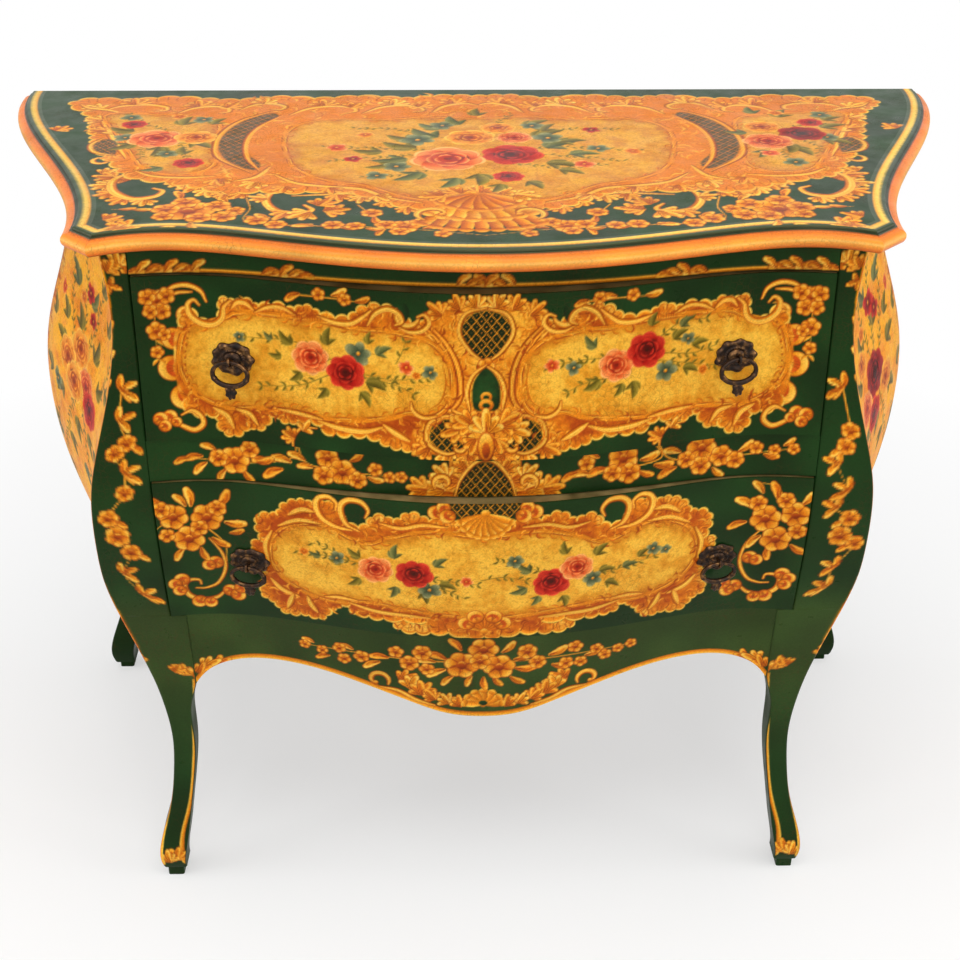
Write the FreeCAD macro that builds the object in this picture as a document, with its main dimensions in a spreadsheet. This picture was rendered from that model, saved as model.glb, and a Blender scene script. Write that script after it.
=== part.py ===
import FreeCAD, Part
import os
import re
import Sketcher
from FreeCAD import Placement, Rotation, Vector

# Bombe chest with two drawers: millimetres, +Z up, front towards -Y, origin on the floor
doc = FreeCAD.newDocument("bombe_chest")
sheet = doc.addObject("Spreadsheet::Sheet", "Sizes")

# Driving sizes and the sizes that follow from them
CELLS = [
    ("height", "870", "floor to the top of the table board"),
    ("depth", "548", "front of the moulding at the middle to the back edge"),
    ("top_thickness", "22", "table board and its moulding"),
    ("top_overhang", "24.6", "edge of the table surface beyond the front of the case"),
    ("side_overhang", "17.6", "the same, beside the front corners"),
    ("back_overhang", "28", "the same, beside the back corners"),
    ("lip_out", "13.7", "moulding beyond the edge of the table surface"),
    ("moulding_width", "16", "moulding inside the edge of the table surface"),
    ("top_serpentine", "43", "middle of the table edge ahead of its corners"),
    ("top_trough", "17", "hollow of the table edge behind its corners"),
    ("cant_across", "22", "cut corner, across"),
    ("cant_back", "21", "cut corner, front to back"),
    ("front_half", "385", "half width of the case at its front corners"),
    ("back_half", "520", "half width of the case at its back"),
    ("back_inset", "4", "case behind the back edge of the table"),
    ("side_bulge", "40", "swell of the sides at the front"),
    ("rear_bulge", "51", "swell of the sides at the back"),
    ("bulge_drop", "340", "that swell below the top of the case"),
    ("side_waist", "6", "nip of the sides under the table at the front"),
    ("rear_waist", "8", "nip of the sides under the table at the back"),
    ("waist_drop", "83", "that nip below the top of the case"),
    ("side_ankle", "10", "nip of the front legs"),
    ("rear_ankle", "12", "nip of the rear legs"),
    ("ankle_share", "0.6756", "that nip, as a share of the way from toe to knee"),
    ("toe_out", "18.5", "kick of the front toes"),
    ("rear_toe_out", "23", "kick of the rear toes"),
    ("toe_height", "30", "height of that kick"),
    ("front_bulge", "16", "swell of the front"),
    ("front_ankle", "20", "set back of the front legs at the ankle"),
    ("toe_forward", "3", "kick of the front toes"),
    ("stile_width", "29", "front posts beside the drawer opening"),
    ("knee_width", "47", "front posts beside the apron"),
    ("ankle_width", "27", "leg across at the ankle"),
    ("ankle_depth", "30", "leg front to back at the ankle"),
    ("foot_width", "20", "block foot across and front to back"),
    ("foot_height", "15", "block foot"),
    ("foot_inset", "2", "block foot behind the face of its leg"),
    ("post_depth", "45", "front posts behind the drawer opening"),
    ("rear_post_depth", "45", "rear posts"),
    ("rear_post_width", "50", "rear posts beside the back panel"),
    ("drawer_gap", "1.5", "gap round each drawer front"),
    ("frieze_height", "31.5", "rail under the table"),
    ("upper_drawer_height", "179", "upper drawer front"),
    ("mid_rail_height", "48", "rail between the drawers"),
    ("lower_drawer_height", "185.5", "lower drawer front"),
    ("apron_drop", "131.5", "apron at its middle"),
    ("apron_arch", "68.5", "apron over its arches"),
    ("apron_ear", "107.5", "apron beside the legs"),
    ("serpentine", "48", "middle of the drawers ahead of their ends"),
    ("trough", "6", "hollow of the drawers behind their ends"),
    ("rail_setback", "3", "rails behind the drawers at their ends"),
    ("rail_flatness", "14", "how much less the rails come forward"),
    ("drawer_front_thickness", "24", "drawer fronts, front to back"),
    ("rail_thickness", "28", "rails and apron, front to back"),
    ("side_thickness", "20", "side panels"),
    ("back_thickness", "8", "back panel"),
    ("back_rail_height", "30", "rail at the back under the table"),
    ("back_rail_thickness", "20", "the same rail"),
    ("side_arch", "44", "arch under the side panels"),
    ("board_thickness", "12", "boards under the drawers"),
    ("board_fit", "0.4", "boards clear of the sides"),
    ("run_gap", "0.5", "running clearance of the drawers"),
    ("box_setback", "2.5", "drawer box inside the ends of its front"),
    ("box_thickness", "12", "drawer sides and backs"),
    ("box_top_gap", "3.5", "drawer box under the rail above"),
    ("drawer_back_gap", "27", "drawer box ahead of the back panel"),
    ("bottom_rise", "5", "drawer bottom above the lower edge of the sides"),
    ("bottom_thickness", "8", "drawer bottoms"),
    ("guide_size", "20", "guide strips"),
    ("kicker_width", "26", "kicker strips"),
    ("kicker_height", "16", "kicker strips"),
    ("stop_width", "30", "drawer stops"),
    ("stop_height", "25", "drawer stops"),
    ("stop_inset", "10", "drawer stops inside the drawer sides"),
    ("handle_inset", "98", "handles from the ends of the opening"),
    ("upper_handle_rise", "92", "upper handles above the lower edge of their drawer"),
    ("lower_handle_rise", "83.5", "lower handles above the lower edge of their drawer"),
    ("plate_radius", "14.5", "handle plate inside its lobes"),
    ("lobe_radius", "5", "lobes of the handle plate"),
    ("plate_thickness", "3", "handle plate"),
    ("plate_dome", "9", "raised middle of the handle plate"),
    ("plate_gap", "1.2", "handle plate clear of the curved front"),
    ("bolt_radius", "2.2", "eye bolt"),
    ("bolt_fit", "0.3", "eye bolt in its holes"),
    ("eye_reach", "13", "eye ahead of the drawer front"),
    ("ring_play", "0.35", "ring clear of its eye"),
    ("eye_wire", "1.5", "eye, radius of its wire"),
    ("nut_radius", "6", "nut"),
    ("nut_height", "4", "nut"),
    ("nut_gap", "1.5", "nut behind the drawer front"),
    ("bolt_end", "2", "eye bolt beyond its nut"),
    ("ring_half_width", "18.5", "ring, to the middle of its wire"),
    ("ring_half_height", "13", "ring, to the middle of its wire"),
    ("ring_wire", "2", "ring, radius of its wire"),
    ("drop_width", "6", "leaf drop, half width"),
    ("drop_depth", "3", "leaf drop, half depth"),
    ("drop_length", "8", "leaf drop, half length"),
    ("spare", "1", "blanks and cuts beyond what they meet"),
    ("back_edge", "=depth / 2", "back edge of the table"),
    ("case_back", "=back_edge - back_inset", "back face of the case"),
    ("case_top", "=height - top_thickness", "under the table board"),
    ("table_corner", "=lip_out + top_serpentine - depth / 2", "front corners of the table surface"),
    ("stile_front", "=table_corner + top_overhang", "drawer ends at the top"),
    ("post_back", "=stile_front + post_depth", "back face of the front posts"),
    ("opening_half", "=front_half - stile_width", "half width of the drawer opening"),
    ("knee_half", "=front_half - knee_width", "half width of the apron"),
    ("back_panel_half", "=back_half - rear_post_width", "half width of the back panel"),
    ("bulge_height", "=case_top - bulge_drop", "widest part of the sides"),
    ("waist_height", "=case_top - waist_drop", "narrowest part under the table"),
    ("rear_post_front", "=case_back - rear_post_depth", "front face of the rear posts"),
    ("panel_front", "=case_back - back_thickness", "inside of the back panel"),
    ("frieze_bottom", "=case_top - frieze_height", "top of the upper opening"),
    ("upper_top", "=frieze_bottom - drawer_gap", "upper drawer front, top"),
    ("upper_bottom", "=upper_top - upper_drawer_height", "upper drawer front, bottom"),
    ("mid_top", "=upper_bottom - drawer_gap", "rail between the drawers, top"),
    ("mid_bottom", "=mid_top - mid_rail_height", "rail between the drawers, bottom"),
    ("lower_top", "=mid_bottom - drawer_gap", "lower drawer front, top"),
    ("lower_bottom", "=lower_top - lower_drawer_height", "lower drawer front, bottom"),
    ("apron_top", "=lower_bottom - drawer_gap", "apron, top"),
    ("knee", "=apron_top - apron_ear", "where posts turn into legs"),
    ("ankle_height", "=toe_height + (knee - toe_height) * ankle_share", "narrowest part of the legs"),
    ("front_end", "=opening_half - drawer_gap", "half width of the drawer fronts"),
    ("box_out", "=front_end - box_setback", "half width of the drawer boxes"),
    ("box_in", "=box_out - box_thickness", "half width inside the drawer boxes"),
    ("box_back", "=panel_front - drawer_back_gap", "back of the drawer boxes"),
    ("guide_in", "=box_out + run_gap", "inner face of the guides"),
    ("stop_place", "=box_in - stop_inset - stop_width", "inner ends of the drawer stops"),
    ("handle_place", "=opening_half - handle_inset", "handles from the middle"),
    ("foot_middle", "=toe_out * 0.82 - ankle_width * 0.5", "middle of a front foot beyond the case"),
    ("rear_foot_middle", "=rear_toe_out * 0.82 - ankle_width * 0.5", "middle of a rear foot beyond the case"),
    ("eye_ring", "=ring_wire + eye_wire + ring_play", "eye, radius to the middle of its wire"),
    ("far", "=depth + back_half + rear_bulge", "beyond every piece"),
]
for row, (name, text, note) in enumerate(CELLS, start=1):
    sheet.set("A%d" % row, note)
    sheet.set("B%d" % row, text)
    sheet.setAlias("B%d" % row, name)
doc.recompute()


def size(name):
    return float(getattr(sheet, name))


def cell(text):
    """Write an expression with plain size names as one that reads the sheet."""
    return re.sub(r"[a-z]+(_[a-z]+)*", lambda found: "Sizes." + found.group(0), text)


def box(label, low, high):
    """A block between two corners, each given as three expressions."""
    piece = doc.addObject("Part::Box", label)
    for axis, side, start, end in zip("xyz", ("Length", "Width", "Height"), low, high):
        piece.setExpression("Placement.Base." + axis, cell(start))
        piece.setExpression(side, cell("(%s) - (%s)" % (end, start)))
    return piece


def shaped(label, shape):
    piece = doc.addObject("Part::Feature", label)
    piece.Shape = shape
    return piece


def cut(label, base, tool):
    piece = doc.addObject("Part::Cut", label)
    piece.Base = base
    piece.Tool = tool
    return piece


def common(label, shapes):
    piece = doc.addObject("Part::MultiCommon", label)
    piece.Shapes = shapes
    return piece


def fuse(label, shapes):
    piece = doc.addObject("Part::MultiFuse", label)
    piece.Shapes = shapes
    return piece


def group(label, shapes):
    piece = doc.addObject("Part::Compound", label)
    piece.Links = shapes
    return piece


def mirrored(label, source):
    piece = doc.addObject("Part::Mirroring", label)
    piece.Source = source
    piece.Base = Vector(0, 0, 0)
    piece.Normal = Vector(1, 0, 0)
    return piece


def primitive(kind, label, place=None, turn=None, **bound):
    piece = doc.addObject(kind, label)
    for name, text in bound.items():
        piece.setExpression(name, cell(text))
    if turn is not None:
        piece.Placement = Placement(Vector(0, 0, 0), turn)
    for axis, text in zip("xyz", place or ()):
        piece.setExpression("Placement.Base." + axis, cell(text))
    return piece


NODES = []


def node(piece):
    NODES.append(piece)
    return piece


# Upright shape of the case: shares of each swell for the sides at the front, at the back, and for the front
RISES = ((0.5, 0.50, 0.50, 0.86), (0.75, 0.90, 0.88, 1.0))
FALLS = (("bulge_height", "knee", 0.0, 0.0, 0.0, 0.09), ("bulge_height", "knee", 0.3, 0.04, 0.11, 0.36),
         ("bulge_height", "knee", 0.486, 0.20, 0.30, 0.54), ("bulge_height", "knee", 0.778, 0.54, 0.73, 0.78),
         ("bulge_height", "knee", 0.972, 0.76, 0.86, 0.89), ("knee", "ankle_height", 0.464, 0.92, 0.97, 0.97),
         ("knee", "ankle_height", 1.0, 1.0, 1.0, 1.0))
KICKS = ((0.29, 0.11, 0.09), (0.58, 0.40, 0.37), (0.87, 0.92, 0.87), (1.0, 1.0, 1.0))


def between(start, end, share):
    return start + (end - start) * share


def upright_stations():
    """Rows of height, swell of the sides at the front and at the back, and swell of the front."""
    near_waist, near_bulge, near_ankle, near_toe = [
        size(name) for name in ("side_waist", "side_bulge", "side_ankle", "toe_out")]
    rear_waist, rear_bulge, rear_ankle, rear_toe = [
        size(name) for name in ("rear_waist", "rear_bulge", "rear_ankle", "rear_toe_out")]
    swell = size("front_bulge")
    set_back = size("front_ankle")
    forward_toe = size("toe_forward")
    rows = [(size("height"), 0.25 * near_waist, 0.25 * rear_waist, -0.25 * swell),
            (size("case_top"), 0.0, 0.0, -0.09 * swell),
            (size("waist_height"), -near_waist, -rear_waist, 0.25 * swell)]
    for part, near, rear, front in RISES:
        rows.append((between(size("waist_height"), size("bulge_height"), part),
                     near_bulge * near, rear_bulge * rear, swell * front))
    for start, end, part, near, rear, front in FALLS:
        rows.append((between(size(start), size(end), part), between(near_bulge, -near_ankle, near),
                     between(rear_bulge, -rear_ankle, rear), between(swell, -set_back, front)))
    for part, side, front in KICKS:
        rows.append((between(size("ankle_height"), size("toe_height"), part),
                     between(-near_ankle, near_toe, side), between(-rear_ankle, rear_toe, side),
                     between(-set_back, forward_toe, front)))
    rows.append((size("foot_height"), near_toe * 0.82, rear_toe * 0.82, forward_toe * 0.3))
    return rows


def through(points, places=None):
    curve = Part.BSplineCurve()
    if places is None:
        curve.interpolate(points)
    else:
        curve.interpolate(Points=points, Parameters=places)
    return curve


def at(curve, axis, value):
    """Point and direction where a curve that runs one way along an axis has a value."""
    low = curve.FirstParameter
    high = curve.LastParameter
    rising = curve.value(high)[axis] > curve.value(low)[axis]
    for step in range(60):
        middle = (low + high) / 2
        if (curve.value(middle)[axis] < value) == rising:
            low = middle
        else:
            high = middle
    return curve.value(low), curve.tangent(low)[0]


STATIONS = upright_stations()
falls_by = [STATIONS[0][0] - row[0] for row in STATIONS]
near_upright = through([Vector(near, 0, up) for up, near, rear, forward in STATIONS], falls_by)
rear_upright = through([Vector(rear, 0, up) for up, near, rear, forward in STATIONS], falls_by)
front_upright = through([Vector(0, -forward, up) for up, near, rear, forward in STATIONS])


def summed(plan, upright, last_upright=None):
    """The face made by carrying an upright curve along a plan curve, evenly changed into another one."""
    lines = list(zip(upright.getPoles(), (last_upright or upright).getPoles()))
    stages = plan.getPoles()
    poles = []
    for step, place in enumerate(stages):
        share = step / (len(stages) - 1)
        poles.append([place + first * (1 - share) + last * share for first, last in lines])
    surface = Part.BSplineSurface()
    surface.buildFromPolesMultsKnots(poles, plan.getMultiplicities(), upright.getMultiplicities(),
                                     plan.getKnots(), upright.getKnots(), False, False,
                                     plan.Degree, upright.Degree)
    return surface.toShape()


def front_plan(forward, hollow, ends):
    """Serpentine line across the front, a little longer than the opening."""
    shape = ((0.0, 1.0, 0.0), (0.18, 0.91, 0.0), (0.36, 0.68, 0.06), (0.60, 0.27, 0.5),
             (0.82, 0.03, 1.0), (1.0, 0.0, 0.0), (1.1, 0.0, -1.1))
    half = []
    for part, share, dip in shape:
        half.append((size("opening_half") * part, ends - forward * share + hollow * dip))
    points = [Vector(-x, size("stile_front") + y, 0) for x, y in reversed(half[1:])]
    points += [Vector(x, size("stile_front") + y, 0) for x, y in half]
    return through(points)


drawer_plan = front_plan(size("serpentine"), size("trough"), 0.0)
rail_plan = front_plan(size("serpentine") - size("rail_flatness") + size("rail_setback"),
                       size("trough"), size("rail_setback"))
drawer_face = summed(drawer_plan, front_upright)
rail_face = summed(rail_plan, front_upright)


def pushed(face, start, length):
    moved = face.copy()
    moved.translate(start)
    return moved.extrude(length)


FAR = size("far")
into = Vector(0, 1, 0)
drawer_band = shaped("drawer_band", pushed(drawer_face, into * 0, into * size("drawer_front_thickness")))
drawer_hollow = shaped("drawer_hollow", pushed(
    drawer_face, into * size("drawer_front_thickness"), into * FAR))
rail_band = shaped("rail_band", pushed(rail_face, into * 0, into * size("rail_thickness")))
case_hollow = shaped("case_hollow", pushed(rail_face, into * size("rail_thickness"), into * FAR))
case_front = shaped("case_front", pushed(rail_face, into * size("rail_thickness"), into * -FAR))

# Side panels, on an S-shaped plan from the front corner to the back
side_reach = (size("case_back") - size("stile_front")) / 3
side_plan = Part.BezierCurve()
side_plan.setPoles([
    Vector(size("front_half"), size("stile_front"), 0),
    Vector(size("front_half"), size("stile_front") + side_reach, 0),
    Vector(size("back_half"), size("case_back") - side_reach, 0),
    Vector(size("back_half"), size("case_back"), 0),
])
side_plan = side_plan.toBSpline()
side_face = summed(side_plan, near_upright, rear_upright)
inward = Vector(-1, 0, 0)
side_band = shaped("side_band", pushed(side_face, inward * 0, inward * size("side_thickness")))
side_outside = shaped("side_outside", pushed(
    side_face, inward * (size("side_thickness") + size("board_fit")), inward * -FAR))
side_outside_other = mirrored("side_outside_other", side_outside)

side_blank = common("side_blank", [side_band, box(
    "side_room", ("0", "post_back", "knee"), ("far", "rear_post_front", "case_top"))])
side_span = "(rear_post_front - post_back)"
arch_radius = "(" + side_span + " * " + side_span + " / (8 * side_arch) + side_arch / 2)"
side_arch_tool = primitive(
    "Part::Cylinder", "side_arch_tool", Radius=arch_radius, Height="far",
    turn=Rotation(Vector(0, 1, 0), 90),
    place=("0", "(rear_post_front + post_back) / 2", "knee + side_arch - " + arch_radius))
side_right = node(cut("side_panel_right", side_blank, side_arch_tool))
node(mirrored("side_panel_left", side_right))


# Corner posts and their legs
def outline_loft(sections):
    wires = []
    for corners in sections:
        wires.append(Part.makePolygon(corners + corners[:1]))
    return Part.makeLoft(wires, True, False)


LEG_SHARE = {"knee": 1.15, "ankle": 1.0, "calf": 0.97, "shin": 1.0, "instep": 1.24, "toe": 1.18,
             "sole": 1.05}
LEG_NAMES = ["knee", "ankle", "calf", "shin", "instep", "toe", "sole"]
POST_STEPS = 14
LEG_ROWS = STATIONS[10:]


def even_rows(high, low):
    """Even rows of height with the swells there, so that the posts follow the sides without waves."""
    rows = []
    for step in range(POST_STEPS + 1):
        up = between(high, low, step / POST_STEPS)
        rows.append((up, at(near_upright, 2, up)[0].x, at(rear_upright, 2, up)[0].x,
                     -at(front_upright, 2, up)[0].y))
    return rows


POST_ROWS = even_rows(STATIONS[1][0], STATIONS[9][0])


def side_line(place, near, rear):
    """Half width of the case at a place from front to back, with its swell there."""
    share = (place - size("stile_front")) / (size("case_back") - size("stile_front"))
    return at(side_plan, 1, place)[0].x + between(near, rear, share)


def front_post_sections():
    sections = []
    for up, near, rear, forward in POST_ROWS:
        front = size("stile_front") + size("rail_setback") - forward
        outer = size("front_half") + near
        back = size("post_back") + size("spare")
        inner = size("knee_half") - size("spare")
        sections.append([Vector(inner, front, up), Vector(outer, front, up),
                         Vector(side_line(size("post_back"), near, rear), back, up), Vector(inner, back, up)])
    for name, (up, near, rear, forward) in zip(LEG_NAMES, LEG_ROWS):
        front = size("stile_front") + size("rail_setback") - forward
        outer = size("front_half") + near
        back = front + size("ankle_depth") * LEG_SHARE[name]
        inner = outer - size("ankle_width") * LEG_SHARE[name]
        sections.append([Vector(inner, front, up), Vector(outer, front, up),
                         Vector(outer, back, up), Vector(inner, back, up)])
    return sections


def rear_post_sections():
    sections = []
    back = size("case_back")
    for up, near, rear, forward in POST_ROWS:
        outer = size("back_half") + rear
        inner = size("back_panel_half") - size("spare")
        front = size("rear_post_front") - size("spare")
        lead = side_line(size("rear_post_front"), near, rear)
        sections.append([Vector(inner, front, up), Vector(lead, front, up),
                         Vector(outer, back, up), Vector(inner, back, up)])
    for name, (up, near, rear, forward) in zip(LEG_NAMES, LEG_ROWS):
        outer = size("back_half") + rear
        inner = outer - size("ankle_width") * LEG_SHARE[name]
        front = back - size("ankle_depth") * LEG_SHARE[name]
        sections.append([Vector(inner, front, up), Vector(outer, front, up),
                         Vector(outer, back, up), Vector(inner, back, up)])
    return sections


front_leg = shaped("front_leg_blank", outline_loft(front_post_sections()))
front_foot = box(
    "front_foot_block",
    ("front_half + foot_middle - foot_width / 2", "stile_front + rail_setback + foot_inset", "0"),
    ("front_half + foot_middle + foot_width / 2", "stile_front + rail_setback + foot_inset + foot_width",
     "foot_height + spare"))
front_whole = fuse("front_post_whole", [front_leg, front_foot])
post_rooms = group("front_post_rooms", [
    box("opening_room", ("0", "0 - far", "apron_top"), ("opening_half", "far", "height")),
    box("apron_room", ("0", "0 - far", "knee"), ("knee_half", "far", "apron_top")),
    box("panel_room", ("0", "post_back", "knee"), ("far", "far", "height"))])
front_post = node(cut("front_post_right", front_whole, post_rooms))
node(mirrored("front_post_left", front_post))

rear_leg = shaped("rear_leg_blank", outline_loft(rear_post_sections()))
rear_foot = box(
    "rear_foot_block",
    ("back_half + rear_foot_middle - foot_width / 2", "case_back - foot_width - foot_inset", "0"),
    ("back_half + rear_foot_middle + foot_width / 2", "case_back - foot_inset", "foot_height + spare"))
rear_whole = fuse("rear_post_whole", [rear_leg, rear_foot])
rear_rooms = group("rear_post_rooms", [
    box("back_room", ("0", "0 - far", "knee"), ("back_panel_half", "far", "height")),
    box("rear_panel_room", ("0", "0 - far", "knee"), ("far", "rear_post_front", "height"))])
rear_post = node(cut("rear_post_right", rear_whole, rear_rooms))
node(mirrored("rear_post_left", rear_post))

# Rails and apron, cut from one serpentine band
node(common("frieze_rail", [rail_band, box(
    "frieze_room", ("0 - opening_half", "0 - far", "frieze_bottom"),
    ("opening_half", "far", "case_top"))]))
node(common("mid_rail", [rail_band, box(
    "mid_room", ("0 - opening_half", "0 - far", "mid_bottom"), ("opening_half", "far", "mid_top"))]))
apron_blank = common("apron_blank", [rail_band, box(
    "apron_block", ("0 - knee_half", "0 - far", "apron_top - apron_drop - spare"),
    ("knee_half", "far", "apron_top"))])


def apron_edge():
    drop = size("apron_drop")
    arch = size("apron_arch")
    ear = size("apron_ear")
    shape = ((0.0, drop), (0.12, drop - 0.06 * (drop - arch)), (0.25, drop - 0.31 * (drop - arch)),
             (0.385, drop - 0.60 * (drop - arch)), (0.53, drop - 0.855 * (drop - arch)), (0.71, arch),
             (0.86, arch + 0.12 * (ear - arch)), (0.95, arch + 0.48 * (ear - arch)), (1.0, ear),
             (1.04, ear + 0.9 * (ear - arch)))
    half = [(size("knee_half") * part, size("apron_top") - fall) for part, fall in shape]
    points = [Vector(-x, -FAR, up) for x, up in reversed(half[1:])]
    points += [Vector(x, -FAR, up) for x, up in half]
    curve = through(points).toShape()
    low = size("apron_top") - 2 * drop
    first = points[0]
    last = points[-1]
    around = Part.makePolygon([last, Vector(last.x, -FAR, low), Vector(first.x, -FAR, low), first])
    face = Part.Face(Part.Wire([curve] + around.Edges))
    return face.extrude(Vector(0, 2 * FAR, 0))


node(cut("apron", apron_blank, shaped("apron_edge", apron_edge())))

# Back, and the boards under the drawers
node(box("back_panel", ("0 - back_panel_half", "panel_front", "knee + side_arch"),
         ("back_panel_half", "case_back", "case_top")))
node(box("back_rail",
         ("0 - back_panel_half", "panel_front - back_rail_thickness", "case_top - back_rail_height"),
         ("back_panel_half", "panel_front", "case_top")))


def drawer_board(label, top, between):
    block = box(label + "_block", ("0 - far", "0 - far", top + " - board_thickness"),
                ("far", "panel_front", top))
    front_corner = box(label + "_front_corner", (between + " - board_fit", "0 - far", "0"),
                       ("far", "post_back + board_fit", "height"))
    rear_corner = box(label + "_rear_corner",
                      ("back_panel_half - board_fit", "rear_post_front - board_fit", "0"),
                      ("far", "far", "height"))
    corners = group(label + "_corners", [
        front_corner, mirrored(label + "_front_corner_other", front_corner), rear_corner,
        mirrored(label + "_rear_corner_other", rear_corner)])
    notched = cut(label + "_notched", block, corners)
    trimmed = cut(label + "_trimmed", cut(label + "_half", notched, side_outside), side_outside_other)
    return node(cut(label, trimmed, case_front))


drawer_board("dust_board", "mid_top", "opening_half")
drawer_board("bottom_board", "apron_top", "knee_half")
for name, floor, ceiling, rear in (
        ("upper", "mid_top", "frieze_bottom", "panel_front - back_rail_thickness"),
        ("lower", "apron_top", "mid_bottom", "panel_front")):
    guide = node(box(name + "_guide_right", ("guide_in", "post_back", floor),
                     ("guide_in + guide_size", "panel_front", floor + " + guide_size")))
    node(mirrored(name + "_guide_left", guide))
    kicker = node(common(name + "_kicker_right", [case_hollow, box(
        name + "_kicker_block", ("opening_half - kicker_width", "0 - far", ceiling),
        ("opening_half", rear, ceiling + " + kicker_height"))]))
    node(mirrored(name + "_kicker_left", kicker))
    stop = box(name + "_stop", ("stop_place", "box_back + run_gap", floor),
               ("stop_place + stop_width", "panel_front", floor + " + stop_height"))
    node(group(name + "_stops", [stop, mirrored(name + "_stop_other", stop)]))

# Table board with its moulding, mitred at the cut corners
MITRE = 0.4


def over(point):
    """The same point on the other side."""
    return Vector(-point.x, point.y, point.z)


def table_marks(out):
    tip_x = size("front_half") + size("side_overhang")
    corner = Vector(tip_x - size("cant_across") + MITRE * out, size("table_corner") - out, 0)
    tip = Vector(tip_x + out, size("table_corner") + size("cant_back") - MITRE * out, 0)
    return corner, tip


def table_outline(out, up):
    corner, tip = table_marks(out)
    heel = Vector(size("back_half") + size("back_overhang") + out, size("back_edge"), 0)
    reach = (heel.y - tip.y) / 3
    side = Part.BezierCurve()
    side.setPoles([tip, tip + Vector(0, reach, 0), heel - Vector(0, reach, 0), heel])
    shape = ((0.0, 1.0, 0.0), (0.16, 0.92, 0.0), (0.32, 0.68, 0.04), (0.56, 0.22, 0.35), (0.81, 0.0, 1.0),
             (1.0, 0.0, 0.0))
    half = []
    for part, share, dip in shape:
        half.append((corner.x * part, corner.y - size("top_serpentine") * share + size("top_trough") * dip))
    points = [Vector(-x, y, 0) for x, y in reversed(half[1:])]
    points += [Vector(x, y, 0) for x, y in half]
    front = through(points).toShape()
    right = side.toShape()
    left = right.mirror(Vector(0, 0, 0), Vector(1, 0, 0))
    edges = [front, Part.makeLine(corner, tip), right, Part.makeLine(heel, over(heel)), left,
             Part.makeLine(over(tip), over(corner))]
    wire = Part.Wire(Part.__sortEdges__(edges))
    wire.translate(Vector(0, 0, up))
    return wire


def moulded_table():
    thick = size("top_thickness")
    lip = size("lip_out")
    levels = ((0.0, 0.36), (0.05, 0.60), (0.14, 0.80), (0.28, 0.95), (0.43, 1.0), (0.57, 0.94),
              (0.67, 0.79), (0.73, 0.58), (0.74, 0.44), (0.80, 0.34), (0.86, 0.29), (0.87, 0.14),
              (0.95, 0.10), (1.0, 0.0))
    wires = [table_outline(lip * out, size("case_top") + thick * part) for part, out in levels]
    return Part.makeLoft(wires, True, True)


def plan_prism(points):
    thick = size("top_thickness")
    low = size("case_top") - thick
    face = Part.Face(Part.makePolygon([Vector(p.x, p.y, low) for p in points + points[:1]]))
    return face.extrude(Vector(0, 0, 3 * thick))


board_face = Part.Face(table_outline(-size("moulding_width"), size("case_top")))
table_board = node(shaped("top_panel", board_face.extrude(Vector(0, 0, size("top_thickness")))))
moulding_ring = cut("moulding_ring", shaped("table_blank", moulded_table()), table_board)
inner_corner, inner_tip = table_marks(-size("moulding_width") - 2 * size("spare"))
outer_corner, outer_tip = table_marks(2.4 * size("lip_out"))
corner_prism = shaped("corner_prism", plan_prism([inner_corner, outer_corner, outer_tip, inner_tip]))
side_prism = shaped("side_prism", plan_prism([inner_tip, outer_tip, Vector(FAR, outer_tip.y, 0),
                                              Vector(FAR, FAR, 0), Vector(inner_tip.x, FAR, 0)]))
front_reach = shaped("front_reach", plan_prism([
    inner_corner, outer_corner, Vector(outer_corner.x, -FAR, 0), Vector(-outer_corner.x, -FAR, 0),
    over(outer_corner), over(inner_corner), Vector(-inner_corner.x / 2, 0, 0),
    Vector(inner_corner.x / 2, 0, 0)]))
node(common("top_moulding_front", [moulding_ring, front_reach]))
corner_piece = node(common("top_moulding_corner_right", [moulding_ring, corner_prism]))
node(mirrored("top_moulding_corner_left", corner_piece))
side_piece = node(common("top_moulding_right", [moulding_ring, side_prism]))
node(mirrored("top_moulding_left", side_piece))


# Handles: each stands square to the curved front where it is fixed
def handle_frame(across, up):
    level, along = at(drawer_plan, 0, across)
    rise, upward = at(front_upright, 2, up)
    plan_slope = along.y / along.x
    upright_slope = upward.y / upward.z
    side = Vector(1, plan_slope, 0).normalize()
    outward = Vector(plan_slope, -1, upright_slope).normalize()
    deep = outward * -1
    above = side.cross(deep)
    return Placement(Vector(across, level.y + rise.y, up), Rotation(side, deep, above, "XYZ"))


def placed(piece, frame):
    piece.Placement = frame.multiply(piece.Placement)
    return piece


def sketch_circle(body, name, radius, across="0"):
    sketch = body.newObject("Sketcher::SketchObject", name)
    plane = [item for item in body.Origin.OriginFeatures if item.Role == "XZ_Plane"][0]
    sketch.AttachmentSupport = [(plane, "")]
    sketch.MapMode = "FlatFace"
    sketch.addGeometry(Part.Circle(Vector(0, 0, 0), Vector(0, 0, 1), 4), False)
    sketch.addConstraint(Sketcher.Constraint("Radius", 0, 4))
    sketch.setExpression("Constraints[0]", cell(radius))
    if across == "0":
        sketch.addConstraint(Sketcher.Constraint("Coincident", 0, 3, -1, 1))
    else:
        sketch.addConstraint(Sketcher.Constraint("DistanceX", -1, 1, 0, 3, 10))
        sketch.setExpression("Constraints[1]", cell(across))
        sketch.addConstraint(Sketcher.Constraint("PointOnObject", 0, 3, -1))
    return sketch


def pad(body, name, sketch, length):
    feature = body.newObject("PartDesign::Pad", name)
    feature.Profile = sketch
    feature.setExpression("Length", cell(length))
    sketch.Visibility = False
    return feature


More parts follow.
